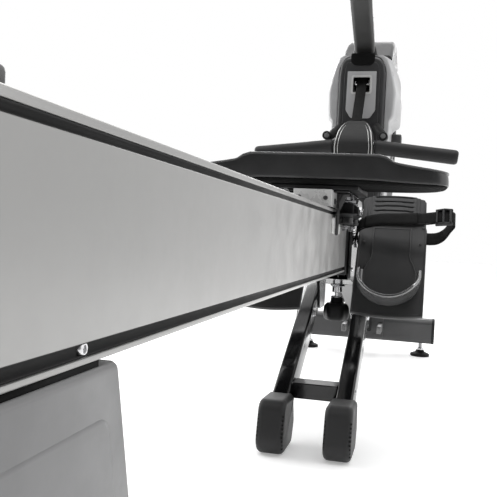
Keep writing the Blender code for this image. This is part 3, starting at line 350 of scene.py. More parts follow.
STOP_RUBBER = rubber("stop_rubber", (0.1, 0.1, 0.1), 0.5)
# Painted highlight: lighter than the seat skin, for the bright line along the seat's top rim.
SEAT_BEAD_HIGHLIGHT = grained_plastic("seat_bead_highlight", (0.075, 0.075, 0.076), 0.28, specular=0.8)
# Near black: the colour of the arm's rubber gaiter, and painted shade in the gap under the rail, the side
# covers' screw holes and the seat's underside.
BLACK_AND_SHADE = grained_plastic("black_and_painted_shade", (0.004, 0.004, 0.004), 0.8, specular=0.1)


# ---------------------------------------------------------------- meshes
def settle(name, shape, flat_merge=True):
    """A finished bmesh as an object at the origin, welded, facing out."""
    bmesh.ops.remove_doubles(shape, verts=shape.verts, dist=0.000004)
    bmesh.ops.dissolve_degenerate(shape, edges=shape.edges, dist=0.000004)
    bmesh.ops.recalc_face_normals(shape, faces=shape.faces)
    if flat_merge:
        bmesh.ops.dissolve_limit(
            shape, angle_limit=math.radians(0.4), verts=shape.verts, edges=shape.edges
        )
    mesh = bpy.data.meshes.new(name)
    shape.to_mesh(mesh)
    shape.free()
    mesh.shade_smooth()
    obj = bpy.data.objects.new(name, mesh)
    bpy.context.scene.collection.objects.link(obj)
    return obj


def lay_rings(shape, rings, closed=False, capped=True):
    """Quads between rings of equally many world points, into an open bmesh."""
    rows = [[shape.verts.new(place) for place in ring] for ring in rings]
    pairs = list(zip(rows, rows[1:]))
    if closed:
        pairs.append((rows[-1], rows[0]))
    for low, high in pairs:
        for index in range(len(low)):
            after = (index + 1) % len(low)
            shape.faces.new((low[index], low[after], high[after], high[index]))
    if capped and not closed:
        shape.faces.new(rows[0][::-1])
        shape.faces.new(rows[-1])


def skin(name, rings, closed=False, capped=True, flat_merge=False):
    shape = bmesh.new()
    lay_rings(shape, rings, closed, capped)
    return settle(name, shape, flat_merge)


def placed(view, origin, across, up, out):
    return Vector(origin) + view[0] * across + view[1] * up + view[2] * out


def extruded(name, outlines, view, start, end, origin=(0, 0, 0)):
    """Flat outlines, the first outside and the others holes, carried from start to end."""
    curve = bpy.data.curves.new(name, "CURVE")
    curve.dimensions = "2D"
    curve.fill_mode = "BOTH"
    curve.extrude = abs(end - start) / 2
    for outline in outlines:
        spline = curve.splines.new("POLY")
        spline.points.add(len(outline) - 1)
        for point, place in zip(spline.points, outline):
            point.co = (place[0], place[1], 0.0, 1.0)
        spline.use_cyclic_u = True
    flat = bpy.data.objects.new(name, curve)
    bpy.context.scene.collection.objects.link(flat)
    bpy.context.view_layer.update()
    shape = bmesh.new()
    shape.from_mesh(bpy.data.meshes.new_from_object(
        flat.evaluated_get(bpy.context.evaluated_depsgraph_get())
    ))
    turn = Matrix(view).transposed().to_4x4()
    shift = Vector(origin) + view[2] * ((start + end) / 2)
    bmesh.ops.transform(shape, matrix=Matrix.Translation(shift) @ turn, verts=shape.verts)
    bpy.data.objects.remove(flat, do_unlink=True)
    return settle(name, shape)


def turned_rings(profile, centre, axis, steps=48, polygon=0):
    """Rings of a (radius, height) profile about an axis; polygon makes them six-sided etc."""
    way = Vector(axis).normalized()
    first = way.orthogonal().normalized()
    second = way.cross(first)
    rings = []
    for radius, height in profile:
        ring = []
        for step in range(steps):
            angle = math.tau * step / steps
            reach = radius
            if polygon:
                half = math.pi / polygon
                reach = radius * math.cos(half) / math.cos(angle % (2 * half) - half)
            ring.append(Vector(centre) + way * height
                        + (first * math.cos(angle) + second * math.sin(angle)) * reach)
        rings.append(ring)
    return rings


def add_turned(shape, profile, centre, axis, steps, polygon=0, hollow=False):
    """A turned solid, or a ring if hollow, into an open bmesh."""
    rings = turned_rings(profile, centre, axis, steps, polygon)
    lay_rings(shape, rings, closed=hollow, capped=False)


def turned(name, profile, centre, axis, steps=48, hollow=False):
    return skin(name, turned_rings(profile, centre, axis, steps), closed=hollow, capped=not hollow)


def swept(name, path, section, side=None, closed=False):
    """A closed section (across, up) carried along world points; side fixes its across axis."""
    rings = []
    across = Vector(side) if side else None
    for index, point in enumerate(path):
        before = path[max(index - 1, 0)]
        after = path[min(index + 1, len(path) - 1)]
        if closed:
            before, after = path[index - 1], path[(index + 1) % len(path)]
        way = (Vector(after) - Vector(before)).normalized()
        if across is None:
            across = way.orthogonal().normalized()
        across = (across - way * across.dot(way)).normalized()
        up = way.cross(across)
        shape = section(index / (len(path) - 1)) if callable(section) else section
        rings.append([Vector(point) + across * a + up * b for a, b in shape])
    return skin(name, rings, closed=closed)


def circle(radius, steps=20):
    return [(radius * math.cos(math.tau * i / steps), radius * math.sin(math.tau * i / steps))
            for i in range(steps)]


def inset(outline, amount):
    """An outline moved inwards by `amount`, each corner along its mitre."""
    turn = sum(a[0] * b[1] - b[0] * a[1] for a, b in zip(outline, outline[1:] + outline[:1]))
    sign = 1 if turn > 0 else -1
    moved = []
    for index, point in enumerate(outline):
        here = Vector(point)
        into = (here - Vector(outline[index - 1])).normalized()
        away = (Vector(outline[(index + 1) % len(outline)]) - here).normalized()
        normal = Vector((-(into + away).y, (into + away).x)).normalized() * sign
        lean = max(0.45, normal.dot(Vector((-into.y, into.x)) * sign))
        moved.append(tuple(here + normal * (amount / lean)))
    return moved


def domed(name, outline, steps, view, origin=(0, 0, 0)):
    """A closed body whose outline shrinks through (inset, out) steps from one cap to the other."""
    rings = [
        [placed(view, origin, a, b, out) for a, b in inset(outline, amount)]
        for amount, out in steps
    ]
    return skin(name, rings)


def relief(name, rows, floor, view, origin=(0, 0, 0)):
    """A closed body under a grid of (across, up, height) rows; floor(across, up) is its underside."""
    shape = bmesh.new()
    top = [[shape.verts.new(placed(view, origin, *point)) for point in row] for row in rows]
    base = [[shape.verts.new(placed(view, origin, a, b, floor(a, b))) for a, b, _ in row]
            for row in rows]
    for grid in (top, base):
        for low, high in zip(grid, grid[1:]):
            for i in range(len(low) - 1):
                shape.faces.new((low[i], low[i + 1], high[i + 1], high[i]))
    rim = [(r, 0) for r in range(len(rows))] + [(len(rows) - 1, c) for c in range(1, len(rows[0]))]
    rim += [(r, len(rows[0]) - 1) for r in range(len(rows) - 2, -1, -1)]
    rim += [(0, c) for c in range(len(rows[0]) - 2, 0, -1)]
    for (r0, c0), (r1, c1) in zip(rim, rim[1:] + rim[:1]):
        shape.faces.new((top[r0][c0], top[r1][c1], base[r1][c1], base[r0][c0]))
    return settle(name, shape, flat_merge=False)


def rounded(corners, count=6):
    """A polygon whose corners (x, y, fillet radius) are rounded; radius 0 stays sharp."""
    outline = []
    for index, (x, y, radius) in enumerate(corners):
        corner = Vector((x, y))
        if not radius:
            outline.append(tuple(corner))
            continue
        before = Vector(corners[index - 1][:2])
        after = Vector(corners[(index + 1) % len(corners)][:2])
        to_before = (before - corner).normalized()
        to_after = (after - corner).normalized()
        half = to_before.angle(to_after) / 2
        centre = corner + (to_before + to_after).normalized() * (radius / math.sin(half))
        first = corner + to_before * (radius / math.tan(half)) - centre
        last = corner + to_after * (radius / math.tan(half)) - centre
        sweep = math.pi - 2 * half
        if first.x * last.y - first.y * last.x < 0:
            sweep = -sweep
        for step in range(count + 1):
            turn = sweep * step / count
            along, across = math.cos(turn), math.sin(turn)
            spoke = Vector((first.x * along - first.y * across, first.x * across + first.y * along))
            outline.append(tuple(centre + spoke))
    return outline


def rectangle(low, high, radius=0.0, count=6):
    (x0, y0), (x1, y1) = low, high
    return rounded([(x0, y0, radius), (x1, y0, radius), (x1, y1, radius), (x0, y1, radius)], count)


def both_sides(half_outline):
    return list(half_outline) + [(-p[0], *p[1:]) for p in reversed(half_outline)]


def arc(centre, radius, start, end, count):
    steps = [math.radians(start + (end - start) * i / count) for i in range(count + 1)]
    return [(centre[0] + radius * math.cos(a), centre[1] + radius * math.sin(a)) for a in steps]


def smooth_path(knots, count):
    """Points of a Catmull-Rom curve through the knots."""
    places = [Vector(knot) for knot in knots]
    places = [places[0] * 2 - places[1], *places, places[-1] * 2 - places[-2]]
    path = []
    for a, b, c, d in zip(places, places[1:], places[2:], places[3:]):
        for step in range(count):
            t = step / count
            path.append(0.5 * (2 * b + (c - a) * t + (2 * a - 5 * b + 4 * c - d) * t**2
                               + (3 * b - a - 3 * c + d) * t**3))
    return path + [places[-2]]


def between(value, knots):
    """Linear interpolation through (x, y) knots, held at both ends."""
    if value <= knots[0][0]:
        return knots[0][1]
    for (x0, y0), (x1, y1) in zip(knots, knots[1:]):
        if value <= x1:
            return y0 + (y1 - y0) * (value - x0) / (x1 - x0)
    return knots[-1][1]


def ease(value, low, high):
    t = min(1.0, max(0.0, (value - low) / (high - low)))
    return t * t * (3 - 2 * t)


# ---------------------------------------------------------------- finishing pieces
def soften(obj, width, angle=30, segments=2):
    """Rounded edges that catch the light, with flat faces kept flat."""
    if width:
        bevel = obj.modifiers.new("rounded_edges", "BEVEL")
        bevel.width = width
        bevel.segments = segments
        bevel.limit_method = "ANGLE"
        bevel.angle_limit = math.radians(angle)
        bevel.use_clamp_overlap = True
    normals = obj.modifiers.new("face_normals", "WEIGHTED_NORMAL")
    normals.keep_sharp = True
    normals.weight = 60
    return obj


def dress(obj, material):
    obj.data.materials.clear()
    obj.data.materials.append(material)
    return obj


def piece(obj, body, material, stands_for=(), edge=0.0006, angle=30, segments=2):
    """Finish a new piece: material, soft edges, its body and the CAD nodes it stands for."""
    dress(obj, material)
    if edge is not None:
        soften(obj, edge, angle, segments)
    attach(obj, body)
    if stands_for:
        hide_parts(*stands_for)
    return obj


def carried(node, material, edge):
    """A CAD node whose shape is right: welded, its flats merged, edges rounded, new material."""
    obj = NODES[node]
    dress(obj, material)
    weld = obj.modifiers.new("weld", "WELD")
    weld.merge_threshold = 0.00001
    merge = obj.modifiers.new("merge_flats", "DECIMATE")
    merge.decimate_type = "DISSOLVE"
    merge.angle_limit = math.radians(1.0)
    soften(obj, edge)
    return obj


def carve(obj, *cutters):
    """Cut shapes out of a piece for good."""
    for cutter in cutters:
        modifier = obj.modifiers.new("cut", "BOOLEAN")
        modifier.object = cutter
        modifier.operation = "DIFFERENCE"
        modifier.solver = "EXACT"
    bpy.context.view_layer.update()
    evaluated = obj.evaluated_get(bpy.context.evaluated_depsgraph_get())
    mesh = bpy.data.meshes.new_from_object(evaluated)
    obj.modifiers.clear()
    obj.data = mesh
    for cutter in cutters:
        bpy.data.objects.remove(cutter, do_unlink=True)
    return obj


def block(name, low, high):
    """A plain box, used as a cutter or as the start of a bevelled piece."""
    low, high = Vector(map(min, low, high)), Vector(map(max, low, high))
    outline = [(low.x, low.y), (high.x, low.y), (high.x, high.y), (low.x, high.y)]
    return skin(name, [[Vector((x, y, z)) for x, y in outline] for z in (low.z, high.z)])


def screw_rings(shape, centre, axis, radius, kind):
    """One fastener head standing on `centre`, into an open bmesh."""
    height = radius * (0.75 if kind == "hex" else 0.55)
    edge = radius * 0.14
    socket = radius * 0.48
    if kind == "hex":
        washer = [(0, -0.0005), (radius * 1.45, -0.0005), (radius * 1.45, radius * 0.16),
                  (radius * 1.38, radius * 0.2), (0, radius * 0.2)]
        add_turned(shape, washer, centre, axis, 24)
        head = [(0, 0), (radius, 0), (radius, height - edge), (radius - edge, height),
                (0, height)]
        add_turned(shape, head, centre, axis, 24, polygon=6)
        return
    outside = [(0, -0.0005), (radius, -0.0005), (radius, height * 0.35),
               (radius * 0.86, height * 0.8), (socket * 1.25, height)]
    add_turned(shape, outside, centre, axis, 24)
    ring = turned_rings([(socket * 1.25, height)], centre, axis, 24)
    hole = turned_rings([(socket, height), (socket, height * 0.35), (0, height * 0.35)],
                        centre, axis, 24, polygon=6)
    lay_rings(shape, ring + hole, capped=False)


def hardware(name, heads, body, material=ZINC):
    """Several fastener heads as one piece: (centre, axis, radius, kind) each."""
    shape = bmesh.new()
    for centre, axis, radius, kind in heads:
        screw_rings(shape, centre, axis, radius, kind)
    return piece(settle(name, shape), body, material, edge=0.0003, angle=40)


# ---------------------------------------------------------------- rail unit
def build_rail():
    half, top, low = RAIL_HI.x, RAIL_HI.z, RAIL_LO.z
    floor = 0.0265
    low_groove, top_groove = (0.3045, 0.311), (0.401, 0.406)
    groove_steps = [
        (half, low, 0.0016), (half, low_groove[0], 0.0005), (floor, low_groove[0], 0.0004),
        (floor, low_groove[1], 0.0004), (half, low_groove[1], 0.0007),
        (half, top_groove[0], 0.0007), (floor, top_groove[0], 0.0004),
        (floor, top_groove[1], 0.0004), (half, top_groove[1], 0.0005), (half, top, 0.0018),
    ]
    outside = rounded(both_sides(groove_steps), 3)
    hollow = [
        (0.0235, 0.3035, 0), (0.0235, 0.314, 0.0006), (0.028, 0.314, 0.0006),
        (0.028, 0.398, 0.0006), (0.0235, 0.398, 0.0006), (0.0235, 0.408, 0),
    ]
    beam = extruded(
        "rail_extrusion", [outside, rounded(both_sides(hollow), 2)], BACK_VIEW,
        -RAIL_LO.y, -RAIL_HI.y,
    )
    piece(beam, "rail", ANODISED, ["rail_beam"], edge=0)
    # Painted shade: a thin near-black sheet lines both grooves and stands for the shade inside them.
    shade_sheet_thick = 0.0006
    shape = bmesh.new()
    for sign in SIDES.values():
        for z0, z1 in (low_groove, top_groove):
            channel = [
                (half - 0.0012, z0 - 0.0001), (floor - 0.0002, z0 - 0.0001),
                (floor - 0.0002, z1 + 0.0001), (half - 0.0012, z1 + 0.0001),
                (half - 0.0012, z1 - shade_sheet_thick), (floor + shade_sheet_thick, z1 - shade_sheet_thick),
                (floor + shade_sheet_thick, z0 + shade_sheet_thick), (half - 0.0012, z0 + shade_sheet_thick),
            ]
            lay_rings(shape, [[Vector((sign * x, y, z)) for x, z in channel]
                              for y in (RAIL_LO.y + 0.0005, RAIL_HI.y - 0.0005)])
    piece(settle("groove_shade_sheet", shape), "rail", GROOVE_SHADE, edge=None)

    lo, hi = CAP_LO, CAP_HI
    outline = rectangle((lo.x, lo.z), (hi.x, hi.z), 0.007)
    cap = domed(
        "rail_cap", outline,
        [(0.0006, -hi.y), (0, -hi.y + 0.0006), (0, -lo.y - 0.005), (0.0006, -lo.y - 0.003),
         (0.0022, -lo.y - 0.0012), (0.0045, -lo.y - 0.0005), (0.0058, -lo.y - 0.0005)],
        BACK_VIEW,
    )
    piece(cap, "rail", BLACK_PLASTIC, ["rail_end_cap"], edge=None)
    hardware("rail_cap_screws", [
        ((x, lo.y + 0.0022, z), -Y_AXIS, 0.0034, "socket") for x in (-0.018, 0.018)
        for z in (0.325, 0.387)
    ], "rail")

    stop_lo, stop_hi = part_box("rear_stop")
    outline = rectangle((stop_lo.x, stop_lo.y), (stop_hi.x, stop_hi.y), 0.0035)
    stop = domed(
        "rail_buffer", outline,
        [(0.0004, stop_lo.z), (0, stop_lo.z + 0.0006), (0, stop_hi.z - 0.003),
         (0.0004, stop_hi.z - 0.0014), (0.0014, stop_hi.z - 0.0004), (0.003, stop_hi.z)],
        PLAN_VIEW,
    )
    piece(stop, "rail", STOP_RUBBER, ["rear_stop"], edge=None)

    foot_screw_y, lower_mid = -1.008, sum(low_groove) / 2
    hardware("rail_foot_screws", [
        ((sign * (floor + shade_sheet_thick), foot_screw_y, lower_mid), X_AXIS * sign, 0.0042, "socket")
        for sign in SIDES.values()
    ], "rail", ZINC)


def build_rear_leg():
    outline = rounded([
        (-1.04, 0.0605, 0.01), (-0.9, 0.0605, 0.01), (-0.972, 0.2978, 0.008),
        (-1.125, 0.2978, 0.008),
    ])
    run = [(0.003, 0.0304), (0.001, 0.0298), (0.0, 0.028)]
    leg = domed("rear_leg_shell", outline,
                [(a, -o) for a, o in run] + [(a, o) for a, o in reversed(run)], SIDE_VIEW)
    piece(leg, "rail", FRAME_GREY, ["rear_leg"], edge=None)
    # A block joins the leg to the rail; it is painted near black as the shade in the gap under the rail.
    neck_shade = block("rear_leg_neck_shade", (-0.0288, -1.118, 0.2972), (0.0288, -0.992, RAIL_LO.z - 0.0003))
    piece(neck_shade, "rail", BLACK_AND_SHADE, edge=None)
    panel = rounded([
        (-1.0365, 0.082, 0.01), (-0.9285, 0.082, 0.01), (-0.9815, 0.2725, 0.014),
        (-1.0985, 0.2725, 0.008),
    ])
    for side, sign in SIDES.items():
        raised = domed(
            f"rear_leg_panel_{side}", panel,
            [(0, 0.027), (0, 0.0301), (0.001, 0.0308), (0.0028, 0.031)],
            FLANK_VIEW[side],
        )
        piece(raised, "rail", FRAME_GREY, edge=None)

    section = rectangle((-1.0065, 0.0008), (-0.9335, 0.0592), 0.013)
    bar = extruded("rear_foot_tube", [section], SIDE_VIEW, -0.186, 0.186)
    piece(bar, "rail", GLOSS_BLACK, ["rear_foot_bar"], edge=0.0006)
    shoe = rectangle((-1.008, 0.0), (-0.932, 0.0597), 0.014)
    for side, sign in SIDES.items():
        boot = domed(
            f"rear_foot_shoe_{side}", shoe,
            [(0.0012, 0.15), (0, 0.151), (0, 0.198), (0.001, 0.2015), (0.0035, 0.204),
             (0.007, 0.205)],
            FLANK_VIEW[side],
        )
        piece(boot, "rail", BOOT_RUBBER, edge=None)
        shape = bmesh.new()
        tread = rectangle((-1.0079, 0.0), (-0.9321, 0.012), 0.002)
        for index in range(4):
            x = sign * (0.158 + index * 0.0105)
            lay_rings(shape, [[Vector((x + sign * shift, y, z)) for y, z in inset(tread, shrink)]
                              for shift, shrink in ((0, 0.0004), (0.0004, 0), (0.0041, 0),
                                                    (0.0045, 0.0004))])
        piece(settle(f"rear_foot_tread_{side}", shape), "rail", FOOT_RUBBER, edge=None)


# ---------------------------------------------------------------- seat
SEAT_SECTION = [
    (0.0, 0.4948), (0.106, 0.4948), (0.1095, 0.4942), (0.114, 0.4902), (0.1185, 0.486),
    (0.124, 0.4838), (0.14, 0.4808), (0.1624, 0.4774), (0.2004, 0.4722), (0.207, 0.4714),
]
SEAT_UNDER = [(-0.1, 0.4472), (0.072, 0.4538)]
SEAT_PLAN = [
    (0.0, -0.19), (0.09, -0.19), (0.16, -0.1898), (0.186, -0.1868), (0.199, -0.178),
    (0.2055, -0.164), (0.2068, -0.14), (0.2062, -0.11), (0.2015, -0.07), (0.194, -0.03),
    (0.172, 0.025), (0.14, 0.056), (0.1, 0.069), (0.05, 0.0715), (0.0, 0.0718),
]


def seat_outline(count=7):
    half = smooth_path(SEAT_PLAN, count)
    half = [(max(0.0, p.x), p.y) for p in half]
    return half + [(-x, y) for x, y in half[-2:0:-1]]


def seat_top(x, y):
    """Height of the cushion's top: a flat middle, flared wings and two shallow hollows."""
    height = between(abs(x), SEAT_SECTION)
    hollow = 0.0
    for centre in (-0.058, 0.058):
        hollow += math.exp(-((x - centre) / 0.036) ** 2 - ((y + 0.055) / 0.055) ** 2)
    ridge = math.exp(-(x / 0.012) ** 2) * ease(y, -0.16, -0.1)
    return height - 0.0085 * hollow - 0.003 * ridge


def build_seat():
    """A moulded pad: upright walls, a thin bead round the top painted lighter as a highlight, and a
    recessed underside painted near black as shade.
    """
    outline = seat_outline()
    centre = Vector((0, -0.06))

    def ring(shrink, height):
        return [Vector((x, y, height(x, y))) for x, y in inset(outline, shrink)]

    def under(y):
        return between(y, SEAT_UNDER)

    def wall(share):
        return lambda x, y: under(y) + (seat_top(x, y) - under(y)) * share

    def lift(x):
        return between(abs(x), [(0.08, 0.0078), (0.16, 0.004), (0.207, 0.0034)])

    rings = []
    for shrink, up in ((0.03, 0.0), (0.0034, 0.0), (0.0014, 0.0004), (0.0004, 0.0012), (0.0001, 0.0024)):
        rings.append(ring(shrink, lambda x, y, more=up: under(y) + lift(x) + more))
    for share, shrink in ((0.45, 0.0002), (0.6, 0.0005), (0.74, 0.001), (0.84, 0.0018)):
        rings.append(ring(shrink, wall(share)))
    for shrink, drop in ((0.0022, 0.0036), (0.0022, 0.0028), (0.0012, 0.0023), (0.0008, 0.0014),
                         (0.0014, 0.0005), (0.0026, 0.0001), (0.004, 0.0004), (0.0058, 0.0009),
                         (0.0085, 0.0009), (0.013, 0.0004), (0.019, 0.0)):
        rings.append(ring(shrink, lambda x, y, down=drop: seat_top(x, y) - down))
    last = [(p.x, p.y) for p in rings[-1]]
    for share in (0.9, 0.8, 0.7, 0.6, 0.5, 0.4, 0.3, 0.2, 0.1, 0.03):
        row = []
        for x, y in last:
            at = centre + (Vector((x, y)) - centre) * share
            row.append(Vector((at.x, at.y, seat_top(at.x, at.y))))
        rings.append(row)
    pad = skin("seat_pad", rings)
    smooth = pad.modifiers.new("moulded", "SUBSURF")
    smooth.levels = 1
    smooth.render_levels = 1
    piece(pad, "seat", SEAT_SKIN, ["seat_cushion"], edge=None)

    base_rings = []
    for shrink, share in ((0.034, 0.0), (0.014, 0.0), (0.008, 0.08), (0.0054, 0.24),
                          (0.0036, 0.5), (0.0024, 0.8), (0.0022, 0.93), (0.03, 0.95)):
        base_rings.append(ring(shrink, lambda x, y, part=share: under(y) + lift(x) * part))
    # Painted shade: the recessed underside is painted near black.
    underside = skin("seat_underside", base_rings)
    piece(underside, "seat", BLACK_AND_SHADE, edge=None)
    # Painted highlight: the bead round the top rim is a lighter grey than the skin.
    line = [Vector((x, y, seat_top(x, y) - 0.0009)) for x, y in inset(outline, 0.0012)]
    bead = swept("seat_bead_highlight", line, circle(0.001, 8), closed=True)
    piece(bead, "seat", SEAT_BEAD_HIGHLIGHT, edge=None)

    pan_lo, pan_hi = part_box("seat_pan")
    rise = SEAT_UNDER[1][1] - SEAT_UNDER[0][1]
    slope = rise / (SEAT_UNDER[1][0] - SEAT_UNDER[0][0])
    gap = 0.0007
    side_line = [
        (pan_lo.y, pan_lo.z), (pan_hi.y, pan_lo.z),
        (pan_hi.y, SEAT_UNDER[0][1] - gap + slope * (pan_hi.y - SEAT_UNDER[0][0])),
        (SEAT_UNDER[0][0], SEAT_UNDER[0][1] - gap), (pan_lo.y, SEAT_UNDER[0][1] - gap),
    ]
    pan = extruded("seat_shell", [side_line], SIDE_VIEW, pan_lo.x, pan_hi.x)
    piece(pan, "seat", BLACK_PLASTIC, ["seat_pan"], edge=0.0012)


def build_carriage():
    lo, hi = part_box("seat_carriage")
    low, plate_low = RAIL_HI.z + 0.002, 0.4366
    channel = block("carriage_channel", (-0.0305, lo.y, low), (0.0305, hi.y, hi.z))
    carve(channel, block("inside", (-0.027, lo.y + 0.003, low - 0.01),
                         (0.027, hi.y - 0.003, plate_low)))
    piece(channel, "seat", WHITE_COAT, ["seat_carriage"], edge=0.0006)
    plate = domed(
        "carriage_plate", rectangle((-0.056, lo.y + 0.02), (0.056, hi.y - 0.02), 0.006),
        [(0.0005, plate_low), (0, plate_low + 0.0005), (0, hi.z - 0.0008), (0.0005, hi.z - 0.0003)],
        PLAN_VIEW,
    )
    piece(plate, "seat", GLOSS_BLACK, edge=None)
    load_y = {end: sum(c.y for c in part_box(f"load_roller_{end}")) / 2 for end in ("rear", "front")}
    axle_z = sum(c.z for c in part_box("load_roller_rear")) / 2
    heads = []
    shape = bmesh.new()
    for sign in SIDES.values():
        for y in load_y.values():
            heads.append(((sign * 0.0305, y, axle_z), X_AXIS * sign, 0.0046, "socket"))
    for y in load_y.values():
        lay_rings(shape, turned_rings([(0.003, -0.029), (0.003, 0.029)], (0, y, axle_z), X_AXIS, 20))
    piece(settle("load_roller_axles", shape), "seat", ZINC, edge=0.0002)
    for x in (-0.021, 0.021):
        heads.append(((x, lo.y, 0.426), -Y_AXIS, 0.0036, "socket"))
    hardware("carriage_bolts", heads, "seat", DARK_GREY)
    hardware("carriage_rear_bolt", [((-0.047, -0.1605, 0.433), -Y_AXIS, 0.005, "hex")], "seat")

    for end in ("rear", "front"):
        lo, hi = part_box(f"load_roller_{end}")
        mid = (lo + hi) / 2
        radius = (hi.z - lo.z) / 2
        half = hi.x
        roller = turned(
            f"rail_roller_{end}",
            [(0.0034, -half + 0.001), (0.005, -half), (0.007, -half), (0.0078, -half + 0.0012),
             (radius - 0.0012, -half + 0.0012), (radius, -half + 0.0024), (radius, half - 0.0024),
             (radius - 0.0012, half - 0.0012), (0.0078, half - 0.0012), (0.007, half),
             (0.005, half), (0.0034, half - 0.001)],
            mid, X_AXIS, hollow=True,
        )
        piece(roller, f"load_roller_{end}", BLACK_PLASTIC, [f"load_roller_{end}"],
              edge=None)
        for side, sign in SIDES.items():
            lo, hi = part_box(f"guide_roller_{end}_{side}")
            mid = (lo + hi) / 2
            radius = (hi.x - lo.x) / 2
            z0, z1 = lo.z - mid.z, hi.z - mid.z
            roller = turned(
                f"side_roller_{end}_{side}",
                [(0.0044, z1 - 0.001), (0.0056, z1), (0.0082, z1), (0.0088, z1 - 0.0012),
                 (0.0124, z1 - 0.0012), (0.0135, z1 - 0.0024), (0.0135, 0.0022),
                 (radius - 0.0006, 0.0016), (radius, 0.0008), (radius, -0.0008),
                 (radius - 0.0006, -0.0016), (0.0135, -0.0022), (0.0135, z0 + 0.0024),
                 (0.0124, z0 + 0.0012), (0.0088, z0 + 0.0012), (0.0082, z0), (0.0056, z0),
                 (0.0044, z0 + 0.001)],
                mid, Z_AXIS, hollow=True,
            )
            body = f"guide_roller_{end}_{side}"
            piece(roller, body, BLACK_PLASTIC, [body], edge=None)
            hub = turned(
                f"side_roller_bearing_{end}_{side}",
                [(0.013, z0 + 0.003), (0.0138, z0 + 0.003), (0.014, z0 + 0.0034),
                 (0.014, -0.0062), (0.0138, -0.0058), (0.013, -0.0058)],
                mid, Z_AXIS, 40, hollow=True,
            )
            piece(hub, body, GLOSS_BLACK, edge=0.0002)
            shape = bmesh.new()
            nut = mid + Z_AXIS * (z0 - 0.0018)
            screw_rings(shape, nut, -Z_AXIS, 0.0058, "hex")
            bolt = [(0, -0.055), (0.0038, -0.055), (0.0038, 0.007), (0.0028, 0.0078), (0, 0.0078)]
            add_turned(shape, bolt, nut, -Z_AXIS, 20)
            top = mid + Z_AXIS * (z1 + 0.001)
            washer = [(0.004, 0), (0.0105, 0), (0.0112, 0.0008), (0.0112, 0.0022), (0.0105, 0.003),
                      (0.004, 0.003)]
            add_turned(shape, washer, top, Z_AXIS, 28, hollow=True)
            lock_nut = [(0.004, 0.0032), (0.0078, 0.0032), (0.0078, 0.0088), (0.007, 0.0096),
                        (0.004, 0.0096)]
            add_turned(shape, lock_nut, top, Z_AXIS, 24, polygon=6, hollow=True)
            piece(settle(f"side_roller_nuts_{end}_{side}", shape), "seat", DARK_ZINC,
                  edge=0.0003, angle=40)

    for side, sign in SIDES.items():
        pad = extruded(
            f"glide_pad_{side}", [rectangle((-0.168, 0.371), (-0.072, 0.396), 0.003)],
            SIDE_VIEW, sign * 0.0314, sign * 0.0342,
        )
        piece(pad, "seat", WHITE_NYLON, edge=0.0005)
        hanger = rounded([
            (0.035, 0.3685, 0.002), (0.04, 0.3685, 0.002), (0.0412, 0.408, 0.006),
            (0.0505, 0.429, 0.006), (0.058, 0.4364, 0.002), (0.035, 0.4364, 0.002),
        ], 4)
        plate = domed(
            f"glide_bracket_{side}", [(sign * x, z) for x, z in hanger],
            [(0.0003, 0.1495), (0, 0.1498), (0, 0.1517), (0.0003, 0.152)], BACK_VIEW,
        )
        piece(plate, "seat", GLOSS_BLACK, edge=None)


# ---------------------------------------------------------------- rear support legs
def build_legs():
    slope = (LEG_HIGH - LEG_LOW).normalized()
    way = Vector((0, slope.x, slope.y))
    across = Vector((0, -slope.y, slope.x))
    low_end = Vector((0, LEG_LOW.x, LEG_LOW.y))
    long = (LEG_HIGH - LEG_LOW).length
    for side, sign in SIDES.items():
        outline = rectangle(
            (LEG_X[0], -LEG_HEIGHT / 2), (LEG_X[1], LEG_HEIGHT / 2), 0.0042, 5
        )
        tube = domed(
            f"leg_beam_{side}", outline, [(0.0004, 0.0), (0, 0.0008), (0, long - 0.0008), (0.0004, long)],
            (X_AXIS * sign, across, way), low_end,
        )
        piece(tube, "base", GLOSS_BLACK, [f"leg_tube_{side}"], edge=None)
        plug = domed(
            f"leg_plug_{side}", inset(outline, 0.002),
            [(0, -0.001), (0, 0.0004), (0.0012, 0.0012)], (X_AXIS * sign, across, way),
            low_end + way * long,
        )
        piece(plug, "base", BLACK_PLASTIC, edge=None)
        build_boot(side)
    heads = []
    for sign in SIDES.values():
        inner = sign * LEG_X[0]
        heads.append(((inner, 0.182, 0.206), -X_AXIS * sign, 0.0055, "hex"))
        heads.append(((inner, 0.235, 0.236), -X_AXIS * sign, 0.0055, "hex"))
        outer = sign * LEG_X[1]
        heads.append(((outer, 0.182, 0.206), X_AXIS * sign, 0.006, "socket"))
        heads.append(((outer, 0.262, 0.248), X_AXIS * sign, 0.006, "socket"))
        heads.append(((outer, -0.0205, 0.0925), X_AXIS * sign, 0.0052, "socket"))
    hardware("leg_bolts", heads, "base")
    carried("leg_brace", GLOSS_BLACK, 0.0016)


